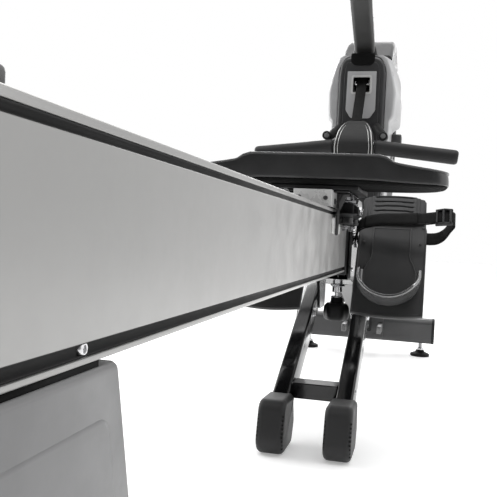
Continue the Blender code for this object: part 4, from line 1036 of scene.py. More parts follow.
def build_boot(side):
    """A one-piece rubber boot with a rounded toe and a comb of tread ribs up its side edges."""
    lo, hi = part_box(f"leg_boot_{side}")
    mid, half = (lo.x + hi.x) / 2, (hi.x - lo.x) / 2 - 0.0003
    outline = rounded([
        (-0.1618, 0.0, 0.028), (-0.058, 0.0, 0.018), (-0.041, 0.038, 0.014),
        (-0.058, 0.0882, 0.006), (-0.143, 0.0912, 0.022),
    ], 9)
    run = [(0.01, half), (0.0068, half - 0.0004), (0.004, half - 0.0016), (0.0018, half - 0.0036),
           (0.0005, half - 0.0062), (0.0, half - 0.0095)]
    steps = [(a, -o) for a, o in run] + [(a, o) for a, o in reversed(run)]
    boot = domed(f"boot_{side}", outline, steps, SIDE_VIEW, X_AXIS * mid)
    piece(boot, "base", BOOT_RUBBER, [f"leg_boot_{side}"], edge=None)
    shape = bmesh.new()
    for index in range(9):
        z = 0.012 + index * 0.0066
        toe = between(z, [(0.0, -0.136), (0.012, -0.152), (0.03, -0.1585), (0.092, -0.145)])
        ring = rectangle((toe + 0.004, z), (toe + 0.04, z + 0.0036), 0.0014, 2)
        for face in (-1, 1):
            x = mid + face * (half - 0.0022)
            proud = 0.0018 if face > 0 else 0.0004
            lay_rings(shape, [[Vector((x + face * out, a, b)) for a, b in inset(ring, shrink)]
                              for out, shrink in ((-0.001, 0.0), (proud - 0.0006, 0.0), (proud, 0.0006))])
    piece(settle(f"boot_ribs_{side}", shape), "base", FOOT_RUBBER, edge=None)


# ---------------------------------------------------------------- yoke, hinge and lock
def build_yoke():
    carried("hinge_yoke", GLOSS_BLACK, 0.001)
    carried("rail_hinge_block", BLACK_PLASTIC, 0.001)
    shape = bmesh.new()
    for sign in SIDES.values():
        screw_rings(shape, Vector((sign * 0.0403, HINGE.y, HINGE.z)), X_AXIS * sign, 0.0092, "hex")
    pin_half, pin_r = 0.0405, 0.008
    add_turned(shape, [(0, -pin_half), (pin_r, -pin_half), (pin_r, pin_half), (0, pin_half)],
               HINGE, X_AXIS, 28)
    piece(settle("hinge_bolt", shape), "base", CHROME, ["hinge_pin"], edge=0.0003, angle=40)
    heads = []
    for sign in SIDES.values():
        for y, z in ((0.115, 0.305), (0.115, 0.378), (0.27, 0.3), (0.283, 0.235)):
            heads.append(((sign * 0.04, y, z), X_AXIS * sign, 0.0048, "socket"))
    hardware("yoke_bolts", heads, "base", CHROME)
    for side, sign in SIDES.items():
        collar = turned(
            f"pedal_collar_{side}",
            [(0.0102, 0), (0.015, 0), (0.0158, 0.001), (0.0158, 0.0032), (0.013, 0.0042),
             (0.0102, 0.0042)],
            (sign * 0.0402, 0.1715, 0.362), X_AXIS * sign, 32, hollow=True,
        )
        piece(collar, "base", ZINC, edge=0.0003)

    lo, hi = KNOB_LO, KNOB_HI
    head_top = 0.226

    def lobes(radius, height):
        ring = []
        for step in range(96):
            angle = math.tau * step / 96
            reach = radius - 0.0026 * (1 - math.cos(6 * angle)) / 2 * (radius / 0.0275)
            ring.append(Vector((reach * math.cos(angle), reach * math.sin(angle) + KNOB_AXIS.y, height)))
        return ring

    profile = [(0.002, lo.z + 0.003), (0.012, lo.z + 0.003), (0.0135, lo.z + 0.0004),
               (0.018, lo.z), (0.0225, lo.z + 0.0008), (0.0258, lo.z + 0.004),
               (0.0272, lo.z + 0.01), (0.0275, lo.z + 0.02), (0.027, lo.z + 0.027),
               (0.025, lo.z + 0.032), (0.0215, head_top - 0.0008), (0.0185, head_top),
               (0.015, head_top + 0.0006), (0.0132, head_top + 0.003),
               (0.0126, 0.237), (0.011, 0.2386), (0.006, 0.2388)]
    knob = skin("lock_knob_head", [lobes(radius, height) for radius, height in profile])
    piece(knob, "lock_knob", BLACK_PLASTIC, ["lock_knob"], edge=None)
    shaft = turned(
        "lock_shaft",
        [(0, 0.238), (0.005, 0.238), (0.005, hi.z - 0.002), (0.0038, hi.z), (0, hi.z)],
        KNOB_AXIS, Z_AXIS, 28,
    )
    piece(shaft, "lock_knob", CHROME, edge=0.0002)
    washer = turned(
        "lock_knob_washer",
        [(0.0052, 0.2384), (0.0122, 0.2384), (0.0128, 0.239), (0.0128, 0.2402), (0.012, 0.2408),
         (0.0052, 0.2408)],
        KNOB_AXIS, Z_AXIS, 32, hollow=True,
    )
    piece(washer, "lock_knob", ZINC, edge=None)
    sleeve = turned(
        "lock_sleeve_zinc",
        [(0.0058, 0.2492), (0.0098, 0.2492), (0.0106, 0.25), (0.0106, 0.26), (0.0112, 0.2604),
         (0.0112, 0.2616), (0.0106, 0.262), (0.0106, 0.2684), (0.0058, 0.2684)],
        KNOB_AXIS, Z_AXIS, 36, hollow=True,
    )
    piece(sleeve, "base", ZINC, edge=0.0002)
    shape = bmesh.new()
    sleeve_nut = [(0.0104, 0.2622), (0.0156, 0.2622), (0.0164, 0.263), (0.0164, 0.2672),
                  (0.0156, 0.268), (0.0104, 0.268)]
    add_turned(shape, sleeve_nut, KNOB_AXIS, Z_AXIS, 48, polygon=6, hollow=True)
    piece(settle("lock_sleeve_nut", shape), "base", ZINC, edge=0.0003, angle=40)


# ---------------------------------------------------------------- spine and stabiliser
def build_spine():
    half, tall = 0.025, 0.06
    slope = (SPINE_FRONT - SPINE_REAR).normalized()
    rise = tall / 2 / slope.x
    section = rectangle((-half, -rise), (half, rise), 0.005)
    rings = [
        [Vector((x, at.x, at.y + z)) for x, z in section] for at in (SPINE_REAR, SPINE_FRONT)
    ]
    piece(skin("spine_beam", rings), "base", GLOSS_BLACK, ["spine_tube"],
          edge=0.0005)
    carried("stabiliser_bracket", DARK_GREY, 0.001)
    heads = []
    for sign in SIDES.values():
        heads.append(((sign * 0.038, 1.03, 0.12), -Y_AXIS, 0.0042, "socket"))
        heads.append(((sign * 0.038, 1.03, 0.064), -Y_AXIS, 0.0042, "socket"))
        post = domed(
            f"bracket_post_sleeve_{'left' if sign < 0 else 'right'}",
            rectangle((sign * 0.0475, 0.0775), (sign * 0.0605, 0.1005), 0.002),
            [(0.0006, -1.01), (0, -1.009), (0, -0.936), (0.0008, -0.935)], BACK_VIEW,
        )
        piece(post, "base", POST_GREY, edge=None)
        for share in (0.12, 0.5, 0.88):
            at = SPINE_REAR.lerp(SPINE_FRONT, share)
            heads.append(((sign * half, at.x, at.y), X_AXIS * sign, 0.0052, "socket"))
    hardware("spine_bolts", heads, "base", DARK_GREY)

    half_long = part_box("stabiliser_cap_right")[0].x - 0.0003
    cap_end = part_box("stabiliser_cap_right")[1].x
    y0, y1, z0, z1 = 1.036, 1.094, 0.044, 0.122
    section = rectangle((y0, z0), (y1, z1), 0.018, 8)
    tube = extruded("stabiliser_tube", [section], SIDE_VIEW, -half_long, half_long)
    piece(tube, "base", DARK_GREY, ["front_stabiliser"], edge=0.0004)
    grown = rectangle((y0 - 0.001, z0 - 0.001), (y1 + 0.001, z1 + 0.001), 0.019, 8)
    for side, sign in SIDES.items():
        cap = domed(
            f"stabiliser_end_{side}", grown,
            [(0.002, half_long - 0.003), (0.0004, half_long - 0.0026), (0, half_long - 0.0018),
             (0, cap_end - 0.0028), (0.0008, cap_end - 0.001), (0.003, cap_end - 0.0002),
             (0.011, cap_end), (0.012, cap_end - 0.001), (0.015, cap_end - 0.001)],
            FLANK_VIEW[side],
        )
        piece(cap, "base", BLACK_PLASTIC, [f"stabiliser_cap_{side}"], edge=None)

        foot_lo, foot_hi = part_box(f"levelling_foot_{side}")
        mid = (foot_lo + foot_hi) / 2
        centre = Vector((mid.x, mid.y, 0))
        foot = turned(
            f"foot_pad_{side}",
            [(0, 0.0), (0.0285, 0.0), (0.03, 0.0015), (0.03, 0.007), (0.0288, 0.0086),
             (0.024, 0.0104), (0.0155, 0.0138), (0.0135, 0.0165), (0.012, 0.02), (0, 0.02)],
            centre, Z_AXIS,
        )
        body = f"levelling_foot_{side}"
        piece(foot, body, FOOT_RUBBER, [body], edge=None)
        shape = bmesh.new()
        thread = [(0, 0.019)]
        for index in range(6):
            z = 0.027 + index * 0.0026
            thread += [(0.0062, z), (0.007, z + 0.0007), (0.0062, z + 0.0014)]
        thread += [(0.006, foot_hi.z), (0, foot_hi.z)]
        thread[1:1] = [(0.0062, 0.019)]
        add_turned(shape, thread, centre, Z_AXIS, 24)
        foot_nut = [(0.006, 0.0205), (0.012, 0.0205), (0.0128, 0.0212), (0.0128, 0.0256),
                    (0.012, 0.0263), (0.006, 0.0263)]
        add_turned(shape, foot_nut, centre, Z_AXIS, 36, polygon=6, hollow=True)
        piece(settle(f"foot_stem_{side}", shape), body, ZINC, edge=0.0003, angle=50)
        build_transport_wheel(side, sign)


def build_transport_wheel(side, sign):
    lo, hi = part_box(f"transport_wheel_{side}")
    mid = (lo + hi) / 2
    radius, half = (hi.z - lo.z) / 2, (hi.x - lo.x) / 2
    tyre = turned(
        f"wheel_tyre_{side}",
        [(0.014, -half + 0.001), (radius - 0.005, -half + 0.0004), (radius - 0.0025, -half + 0.0016),
         (radius - 0.0004, -0.006), (radius, -0.002), (radius, 0.002), (radius - 0.0004, 0.006),
         (radius - 0.0025, half - 0.0016), (radius - 0.005, half - 0.0004), (0.014, half - 0.001)],
        mid, X_AXIS, hollow=True,
    )
    body = f"transport_wheel_{side}"
    piece(tyre, body, FOOT_RUBBER, [body], edge=None)
    hub = turned(
        f"wheel_hub_{side}",
        [(0.0042, -half), (0.007, -half), (0.0078, -half + 0.002), (0.012, -half + 0.003),
         (0.0142, -half + 0.001), (0.0142, half - 0.001), (0.012, half - 0.003),
         (0.0078, half - 0.002), (0.007, half), (0.0042, half)],
        mid, X_AXIS, hollow=True,
    )
    piece(hub, body, FRAME_GREY, edge=None)
    fork = extruded(
        f"wheel_fork_{side}",
        [rounded([(1.088, 0.0595, 0.002), (1.116, 0.0595, 0.008), (1.1265, 0.068, 0.006),
                  (1.116, 0.0765, 0.008), (1.088, 0.0765, 0.002)])],
        SIDE_VIEW, sign * 0.1125, sign * 0.1165,
    )
    piece(fork, "base", DARK_GREY, edge=0.0005)
    shape = bmesh.new()
    axle_half, axle_r = 0.014, 0.0038
    add_turned(shape, [(0, -axle_half), (axle_r, -axle_half), (axle_r, axle_half), (0, axle_half)],
               (sign * 0.1025, mid.y, mid.z), X_AXIS * sign, 24)
    screw_rings(shape, Vector((sign * 0.1165, mid.y, mid.z)), X_AXIS * sign, 0.0052, "hex")
    screw_rings(shape, Vector((sign * 0.0885, mid.y, mid.z)), -X_AXIS * sign, 0.0052, "socket")
    piece(settle(f"wheel_axle_{side}", shape), "base", ZINC, edge=0.0003, angle=40)


# ---------------------------------------------------------------- drive
def build_drive():
    carried("drive_frame", FRAME_GREY, 0.0008)
    carried("flywheel", IRON, 0.0012)
    carried("flywheel_axle", SATIN_STEEL, 0.0008)
    carried("magnet_bracket", ZINC, 0.0008)
    carried("strap_spool", BLACK_PLASTIC, 0.0006)
    carried("drive_belt", FOOT_RUBBER, 0)
    radius = (ROLLER_HI.z - ROLLER_LO.z) / 2
    half = ROLLER_HI.x
    roller = turned(
        "strap_roller",
        [(0.0054, -half), (radius - 0.0012, -half), (radius, -half + 0.0012),
         (radius, -half + 0.0034), (radius - 0.002, -half + 0.005), (radius - 0.002, half - 0.005),
         (radius, half - 0.0034), (radius, half - 0.0012), (radius - 0.0012, half), (0.0054, half)],
        IDLER, X_AXIS, hollow=True,
    )
    piece(roller, "idler_roller", CHROME, ["idler_roller"], edge=None)


STRAP_HALF, STRAP_THICK, STRAP_GAP = 0.0125, 0.0016, 0.0003
IDLER_R, SPOOL_R = 0.014, 0.022


def strap_section():
    half, thick, edge = STRAP_HALF, STRAP_THICK / 2, 0.0004
    return [(-half, -thick + edge), (-half + edge, -thick), (0, -thick), (half - edge, -thick),
            (half, -thick + edge), (half, thick - edge), (half - edge, thick), (0, thick),
            (-half + edge, thick), (-half, thick - edge)]


def build_pull_strap():
    radius = IDLER_R + STRAP_GAP + STRAP_THICK / 2
    idler = Vector((IDLER.y, IDLER.z))
    end = Vector((POD_TOP.y, POD_TOP.z))
    away = end - idler
    leave = math.degrees(math.atan2(away.y, away.x) - math.acos(radius / away.length)) % 360
    wrap = [Vector(p) for p in arc(idler, radius, 8, leave, 20)]
    spool_lo, spool_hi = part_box("strap_spool")
    spool = (spool_lo + spool_hi) / 2
    start = Vector((spool.y - SPOOL_R - STRAP_GAP - STRAP_THICK, spool.z))
    straight = 72
    inside = [start.lerp(wrap[0], i / 12) for i in range(12)] + wrap
    inner = swept("pull_strap_inside", [Vector((0, p.x, p.y)) for p in inside], strap_section(), X_AXIS)
    piece(inner, "base", PULL_WEBBING, edge=None)
    path = [wrap[-1].lerp(end, i / straight) for i in range(straight + 1)]
    strap = swept("pull_strap_web", [Vector((0, p.x, p.y)) for p in path], strap_section(), X_AXIS)
    dress(strap, PULL_WEBBING)
    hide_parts("pull_strap")
    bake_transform(strap)


# ---------------------------------------------------------------- drum
def build_drum():
    """Two half shells: a stepped cheek with a fan of vents and a hub cap, joined at the rim."""
    edge, rim = DRUM_HALF, DRUM_R
    for side, sign in SIDES.items():
        outer = [
            (0.0, edge - 0.004), (0.074, edge - 0.004), (0.078, edge - 0.0005), (0.096, edge),
            (0.236, edge), (0.241, edge - 0.0016), (0.246, edge - 0.0016), (0.25, edge - 0.0002),
            (0.268, edge - 0.0002), (0.2725, edge - 0.001), (0.2765, edge - 0.0034),
            (0.2788, edge - 0.0066), (rim - 0.0002, edge - 0.01), (rim, edge - 0.014), (rim, 0.0026),
            (rim - 0.0012, 0.0004),
        ]
        inner = [(rim - 0.004, 0.0004), (rim - 0.0035, edge - 0.012), (0.274, edge - 0.0065),
                 (0.27, edge - 0.004), (0.236, edge - 0.0045), (0.096, edge - 0.003),
                 (0.074, edge - 0.0065), (0.0, edge - 0.0065)]
        shell = turned(f"drum_shell_{side}", outer + inner, DRUM_AXIS, X_AXIS * sign, 128)
        cutters = [block("mouth", (-0.2, 0.3, 0.3), (0.2, DRUM_OPEN_Y, 1.0))]
        vents = bmesh.new()
        for index in range(40):
            angle = math.tau * index / 40
            spoke = Vector((0, math.cos(angle), math.sin(angle)))
            swirl = Vector((0, -math.sin(angle), math.cos(angle)))
            if DRUM_AXIS.y + spoke.y * 0.23 < DRUM_OPEN_Y + 0.045:
                continue
            slot = []
            for reach, lean in ((0.118, 0.0), (0.15, 0.01), (0.185, 0.026), (0.214, 0.046)):
                slot.append((reach, lean - 0.0026 * reach / 0.12, lean + 0.0026 * reach / 0.12))
            ring = [(r, low) for r, low, _ in slot] + [(r, high) for r, _, high in slot[::-1]]
            lay_rings(vents, [
                [DRUM_AXIS + spoke * r + swirl * s + X_AXIS * (sign * x) for r, s in ring]
                for x in (edge - 0.012, edge + 0.01)
            ])
        cutters.append(settle("vents", vents))
        carve(shell, *cutters)
        shell.data.shade_smooth()
        piece(shell, "base", DRUM_GREY, [f"drum_cover_{side}"], edge=0.0004)
        cap = turned(
            f"drum_hub_cap_{side}",
            [(0, edge - 0.005), (0.044, edge - 0.005), (0.044, edge + 0.006),
             (0.0425, edge + 0.0086), (0.0385, edge + 0.01), (0.033, edge + 0.01),
             (0.0315, edge + 0.0088), (0.03, edge + 0.0088), (0.0285, edge + 0.01),
             (0.012, edge + 0.0118), (0, edge + 0.0122)],
            DRUM_AXIS, X_AXIS * sign, 96,
        )
        piece(cap, "base", CHARCOAL, edge=None)
        ring = turned(
            f"drum_trim_ring_{side}",
            [(0.084, edge - 0.003), (0.0905, edge - 0.003), (0.0905, edge + 0.0006),
             (0.0893, edge + 0.0016), (0.0852, edge + 0.0016), (0.084, edge + 0.0006)],
            DRUM_AXIS, X_AXIS * sign, 96, hollow=True,
        )
        piece(ring, "base", SILVER, edge=None)
        heads = []
        for angle in (-100, -50, 0, 50, 100):
            turn = math.radians(angle)
            at = DRUM_AXIS + Vector((0, math.cos(turn), math.sin(turn))) * 0.2435
            heads.append((at + X_AXIS * (sign * (edge - 0.0014)), X_AXIS * sign, 0.0036, "socket"))
        hardware(f"drum_screws_{side}", heads, "base")
    seam = turned(
        "drum_seam_band",
        [(rim - 0.003, -0.0034), (rim - 0.0004, -0.0034), (rim - 0.0004, 0.0034),
         (rim - 0.003, 0.0034)],
        DRUM_AXIS, X_AXIS, 128, hollow=True,
    )
    carve(seam, block("mouth", (-0.2, 0.3, 0.3), (0.2, DRUM_OPEN_Y + 0.002, 1.0)))
    piece(seam, "base", CHARCOAL, edge=None)


# ---------------------------------------------------------------- tower
TOWER_HALF_OUTLINE = [
    (0.06, 0.15, 0), (0.06, 0.78, 0.04), (0.056, 0.808, 0.02), (0.044, 0.824, 0.02),
    (0.025, 0.829, 0),
]


def build_tower():
    outline = rounded(both_sides(TOWER_HALF_OUTLINE), 8)
    steps = [
        (0.009, -0.538), (0.0068, -0.539), (0.0042, -0.5415), (SKIN, -0.5475),
        (SKIN, -TOWER_FRONT), (0.0, -TOWER_FRONT),
        (0.0, -0.549), (0.0006, -0.544), (0.002, -0.54),
        (0.0045, -0.537), (0.0075, -0.5356), (0.0105, -0.535), (0.0125, -0.535),
        (0.0132, -0.536), (0.015, -0.5362), (0.0162, -0.5352), (0.0175, -0.535),
    ]
    cover = domed("tower_shell", outline, steps, BACK_VIEW)
    window = block("window", (-WINDOW_HALF, 0.5, WINDOW_Z[0]), (WINDOW_HALF, 0.545, WINDOW_Z[1]))
    foot_line = extruded(
        "foot_line", [[(0.5, 0.05), (0.7, 0.05), (0.7, 0.241), (0.5, 0.3015)]],
        SIDE_VIEW, -0.1, 0.1,
    )
    carve(cover, window, foot_line)
    piece(cover, "base", CHARCOAL, ["tower_cover"], edge=0.0004)

    plate = rounded([
        (-0.024, 0.67, 0.01), (0.024, 0.67, 0.01), (0.037, 0.69, 0.014),
        (0.036, 0.788, 0.0015), (-0.036, 0.788, 0.0015), (-0.037, 0.69, 0.014),
    ], 8)
    opening = rectangle((-WINDOW_HALF, WINDOW_Z[0]), (WINDOW_HALF, WINDOW_Z[1]), 0.003)
    guide = extruded("guide_plate", [plate, opening], BACK_VIEW, -0.5346, -0.5322)
    piece(guide, "base", SILVER, ["strap_guide"], edge=0.0006)
    border_out = rectangle((-WINDOW_HALF - 0.005, WINDOW_Z[0] - 0.0035),
                           (WINDOW_HALF + 0.005, WINDOW_Z[1] + 0.005), 0.005)
    border = extruded("guide_border", [border_out, opening], BACK_VIEW, -0.5324, -0.5303)
    piece(border, "base", PALE_SILVER, edge=0.0007)

    gaiter = domed(
        "arm_gaiter",
        rounded([(-0.0296, 0.803, 0.016), (0.0296, 0.803, 0.016), (0.03, 0.8335, 0.004),
                 (-0.03, 0.8335, 0.004)], 8),
        [(0.0015, -0.575), (0, -0.574), (0, -0.533), (0.0006, -0.5316), (0.0022, -0.5304),
         (0.004, -0.53)],
        BACK_VIEW,
    )
    piece(gaiter, "base", BLACK_AND_SHADE, edge=None)
    for side, sign in SIDES.items():
        build_side_shell(side, sign)
        peg = swept(
            f"peg_{side}",
            smooth_path([(sign * 0.045, 0.5347, 0.645), (sign * 0.045, 0.52, 0.645),
                         (sign * 0.0545, 0.5, 0.6315), (sign * 0.064, 0.48, 0.618),
                         (sign * 0.067, 0.46, 0.6123), (sign * 0.067, 0.4275, PEG_TIP_Z)], 5),
            circle(PEG_R, 28), X_AXIS,
        )
        piece(peg, "base", FOOT_RUBBER, [f"handle_peg_{side}"], edge=None)
        cap = turned(
            f"peg_cap_{side}",
            [(0, 0), (PEG_R, 0), (PEG_R + 0.0002, 0.0012), (PEG_R + 0.0002, 0.003),
             (PEG_R - 0.0007, 0.004), (PEG_R - 0.0027, 0.0044), (PEG_R - 0.0033, 0.0038), (0, 0.0038)],
            (sign * 0.067, 0.4284, PEG_TIP_Z), -Y_AXIS, 40,
        )
        piece(cap, "base", BLACK_PLASTIC, edge=None)
        disc = turned(
            f"peg_disc_{side}", [(0, 0), (0.006, 0), (0.006, 0.0003), (0.0055, 0.0006), (0, 0.0006)],
            (sign * 0.067, 0.4247, PEG_TIP_Z), -Y_AXIS, 40,
        )
        piece(disc, "base", FRAME_GREY, edge=None)


SHELL_REACH = [
    (0.452, 0.07), (0.456, 0.0713), (0.664, 0.0733), (0.669, 0.0742), (0.674, 0.08),
    (0.678, 0.089), (0.683, 0.0925), (0.69, 0.0935), (0.74, 0.0946), (0.77, 0.0938),
    (0.785, 0.0922), (0.796, 0.088), (0.815, 0.079), (0.827, 0.0725), (0.8315, 0.066),
]
SHELL_NEAR = [
    (0.452, 0.0752), (0.664, 0.0795), (0.7, 0.083), (0.738, 0.0845), (0.748, 0.083),
    (0.775, 0.0768), (0.79, 0.0725), (0.806, 0.067), (0.818, 0.062), (0.8315, 0.06),
]
COVER_SHOULDER = [
    (0.452, 0.0604), (0.782, 0.0604), (0.8, 0.0584), (0.816, 0.0512), (0.825, 0.0444),
    (0.8292, 0.025), (0.8315, 0.025),
]
SHELL_FRONT = [
    (0.452, 0.656), (0.52, 0.683), (0.56, 0.704), (0.6, 0.733), (0.64, 0.76),
    (0.68, 0.774), (0.73, 0.778), (0.77, 0.774), (0.8, 0.756), (0.8315, 0.72),
]


def build_side_shell(side, sign):
    """A lacquered side cover whose depth follows its height, with rolled edges."""
    low, high, rows_n, cols_n = 0.452, 0.8315, 60, 26
    rear, cover_front, depth_ahead = 0.5467, 0.6585, 0.0664
    widest_flank, flare_run, rolled_edge = 0.0935, 0.11, 0.007

    def floor(y, z):
        return between(z, COVER_SHOULDER) if y < cover_front else depth_ahead

    rows = []
    for i in range(rows_n + 1):
        z = low + (high - low) * i / rows_n
        front = between(z, SHELL_FRONT)
        widest, near = between(z, SHELL_REACH), between(z, SHELL_NEAR)
        row = []
        for j in range(cols_n + 1):
            share = 0.5 - 0.5 * math.cos(math.pi * j / cols_n)
            y = rear + (front - rear) * share
            rim = min(y - rear, front - y, (z - low) * 1.4, (high - z) * 1.4)
            base = floor(y, z)
            roll = math.sqrt(max(0.0, 1 - (1 - min(1.0, rim / rolled_edge)) ** 2))
            full = min(widest, near + (widest_flank - near) * (y - rear) / flare_run)
            fall = 0.0015 * ease(y, rear + 0.14, front)
            row.append((y, z, max(base + 0.0008, base + (full - fall - base) * (0.7 + 0.3 * roll))))
        rows.append(row)

    shell = relief(f"side_shell_{side}", rows, floor, FLANK_VIEW[side])
    hole = extruded(
        "screw_hole", [rectangle((0.556, 0.78), (0.56, 0.793), 0.0019)], SIDE_VIEW,
        sign * 0.066, sign * 0.1,
    )
    ring = extruded(
        "hinge_line", [rectangle((0.6, 0.736), (0.76, 0.7372))], SIDE_VIEW, sign * 0.0925, sign * 0.1,
    )
    carve(shell, hole, ring)
    piece(shell, "base", SILVER, [f"tower_side_{side}"], edge=None)
    shell.data.shade_smooth()
    shell.data.set_sharp_from_angle(angle=math.radians(42))
    # Painted shade: the screw hole's floor is a near-black sheet.
    plug = extruded(
        f"side_hole_floor_shade_{side}", [rectangle((0.5552, 0.7792), (0.5608, 0.7938), 0.0024)], SIDE_VIEW,
        sign * 0.0648, sign * 0.0664,
    )
    piece(plug, "base", BLACK_AND_SHADE, edge=None)
    block_piece = domed(
        f"tension_block_{side}",
        rectangle((0.7, 0.618), (0.752, 0.656), 0.006),
        [(0, 0.0662), (0, 0.096), (0.0012, 0.0982), (0.0036, 0.099)],
        FLANK_VIEW[side],
    )
    piece(block_piece, "base", DRUM_GREY, edge=None)


# ---------------------------------------------------------------- console and its arm
def arm_rings():
    lower = smooth_path([(0.603, 0.8297), (0.56, 0.848), (0.476, 0.886), (0.413, 0.914),
                         (0.33, 0.958), (0.262, 1.018)], 5)
    upper = smooth_path([(0.247, 1.042), (0.32, 0.986), (0.413, 0.942), (0.476, 0.914),
                         (0.56, 0.878), (0.622, 0.848)], 5)[::-1]
    return list(zip(lower, upper))


def arm_section(low, high, half, grow=0.0, corner=0.3):
    """A rounded section between the arm's under and upper line, `grow` larger all round."""
    mid = (low + high) / 2
    up = (high - low) / 2
    tall = up.length + grow
    up = up.normalized()
    wide = half + grow
    ring = []
    for a, b in rectangle((-wide, -tall), (wide, tall), min(tall, wide) * (0.55 + corner), 7):
        at = mid + up * b
        ring.append(Vector((a, at.x, at.y)))
    return ring


def build_arm():
    rings = []
    pairs = arm_rings()
    for low, high in pairs:
        rings.append(arm_section(low, high, ARM_HALF - 0.0002, corner=0.15))
    arm = skin("console_arm_beam", rings)
    side = KNUCKLE_HALF + 0.0006
    turn = Matrix((X_AXIS, ARM_END_WAY, X_AXIS.cross(ARM_END_WAY))).transposed().to_4x4()
    slot = block("slot", (-side, -0.0145, -0.05), (side, 0.06, 0.05))
    slot.data.transform(Matrix.Translation(CONSOLE_HINGE) @ turn)
    carve(arm, slot)
    piece(arm, "base", ARM_PLASTIC, ["console_arm"], edge=0.0008)

    collar_rings = []
    for index, grow in ((0, 0.0052), (1, 0.0048), (2, 0.0036), (3, 0.002), (4, 0.0004)):
        collar_rings.append(arm_section(*pairs[index], ARM_HALF, grow, corner=0.35))
    for ring in collar_rings:
        for place in ring:
            place.z = max(place.z, 0.8255)
            place.y = max(place.y, 0.5372)
    collar = skin("console_arm_collar", collar_rings)
    piece(collar, "base", FOOT_RUBBER, edge=None)
    heads = []
    for sign in SIDES.values():
        heads.append((CONSOLE_HINGE + X_AXIS * (sign * 0.025), X_AXIS * sign, 0.005, "socket"))
        heads.append((Vector((sign * 0.025, 0.47, 0.902)), X_AXIS * sign, 0.004, "socket"))
    hardware("console_arm_screws", heads, "base")


def build_console():
    tilt = math.radians(24)
    facing = Vector((0, -math.cos(tilt), math.sin(tilt)))
    climb = Vector((0, math.sin(tilt), math.cos(tilt)))
    view = (X_AXIS, climb, facing)
    outline = rounded([(-0.085, -0.02, 0.018), (0.085, -0.02, 0.018), (0.1, 0.097, 0.018),
                       (-0.1, 0.097, 0.018)], 8)
    shell = domed(
        "console_shell", outline,
        [(0.009, 0.0262), (0.004, 0.0268), (0.0012, 0.029), (0.0, 0.033), (0.0, 0.04),
         (0.0006, 0.0404), (0.0006, 0.041), (0.0, 0.0414), (0.0002, 0.045), (0.0016, 0.0486),
         (0.0045, 0.051), (0.008, 0.0518), (0.011, 0.0516), (0.0125, 0.0504)],
        view, CONSOLE_HINGE,
    )
    piece(shell, "console", BLACK_PLASTIC, ["console_body"], edge=None)
    bezel = rectangle((-0.072, 0.02), (0.072, 0.083), 0.007)
    glass = domed(
        "console_screen", bezel,
        [(0, 0.05), (0, 0.0512), (0.001, 0.0516), (0.0014, 0.0516)], view, CONSOLE_HINGE,
    )
    piece(glass, "console", SCREEN, edge=None)
    frame_ring = extruded(
        "console_bezel", [inset(bezel, -0.0026), bezel], view, 0.05, 0.052, CONSOLE_HINGE
    )
    piece(frame_ring, "console", SILVER, edge=0.0005)
    for index in range(5):
        x = -0.052 + index * 0.026
        pad = rectangle((x - 0.0095, -0.004), (x + 0.0095, 0.009), 0.0062)
        button = domed(
            f"console_button_{index}", pad,
            [(0, 0.05), (0, 0.0512), (0.0008, 0.0519), (0.003, 0.0522), (0.005, 0.052)],
            view, CONSOLE_HINGE,
        )
        piece(button, "console", FOOT_RUBBER, edge=None)
    shape = bmesh.new()
    knuckle = [(0, -KNUCKLE_HALF), (0.0094, -KNUCKLE_HALF), (0.01, -KNUCKLE_HALF + 0.0008),
               (0.01, KNUCKLE_HALF - 0.0008), (0.0094, KNUCKLE_HALF), (0, KNUCKLE_HALF)]
    add_turned(shape, knuckle, CONSOLE_HINGE, X_AXIS, 40)
    lay_rings(shape, [
        [placed(view, CONSOLE_HINGE, a, b, out)
         for a, b in rectangle((-0.0158, -0.0078), (0.0158, 0.0078), 0.003)]
        for out in (0.004, 0.03)
    ])
    piece(settle("console_knuckle", shape), "console", BLACK_PLASTIC, edge=0.0005)


# ---------------------------------------------------------------- pedals
TONGUE_HALF = 0.0375


def toe_height(x, s):
    """Height of the toe block over the board: stepped flanks and four bowed grooves."""
    flank = abs(x - PEDAL_MID)
    height = between(flank, [(0.0, 0.0099), (0.044, 0.0099), (0.045, 0.0078), (0.0505, 0.0076),
                             (0.0515, 0.0052), (0.057, 0.0048), (0.062, 0.003)])
    for index in range(4):
        line = 0.23 + 0.0115 * index + 0.0024 * (1 - (flank / 0.0385) ** 2)
        near = 1 - ease(abs(s - line), 0.0008, 0.0019)
        height -= 0.0024 * near * (1 - ease(flank, 0.036, 0.0395))
    return height


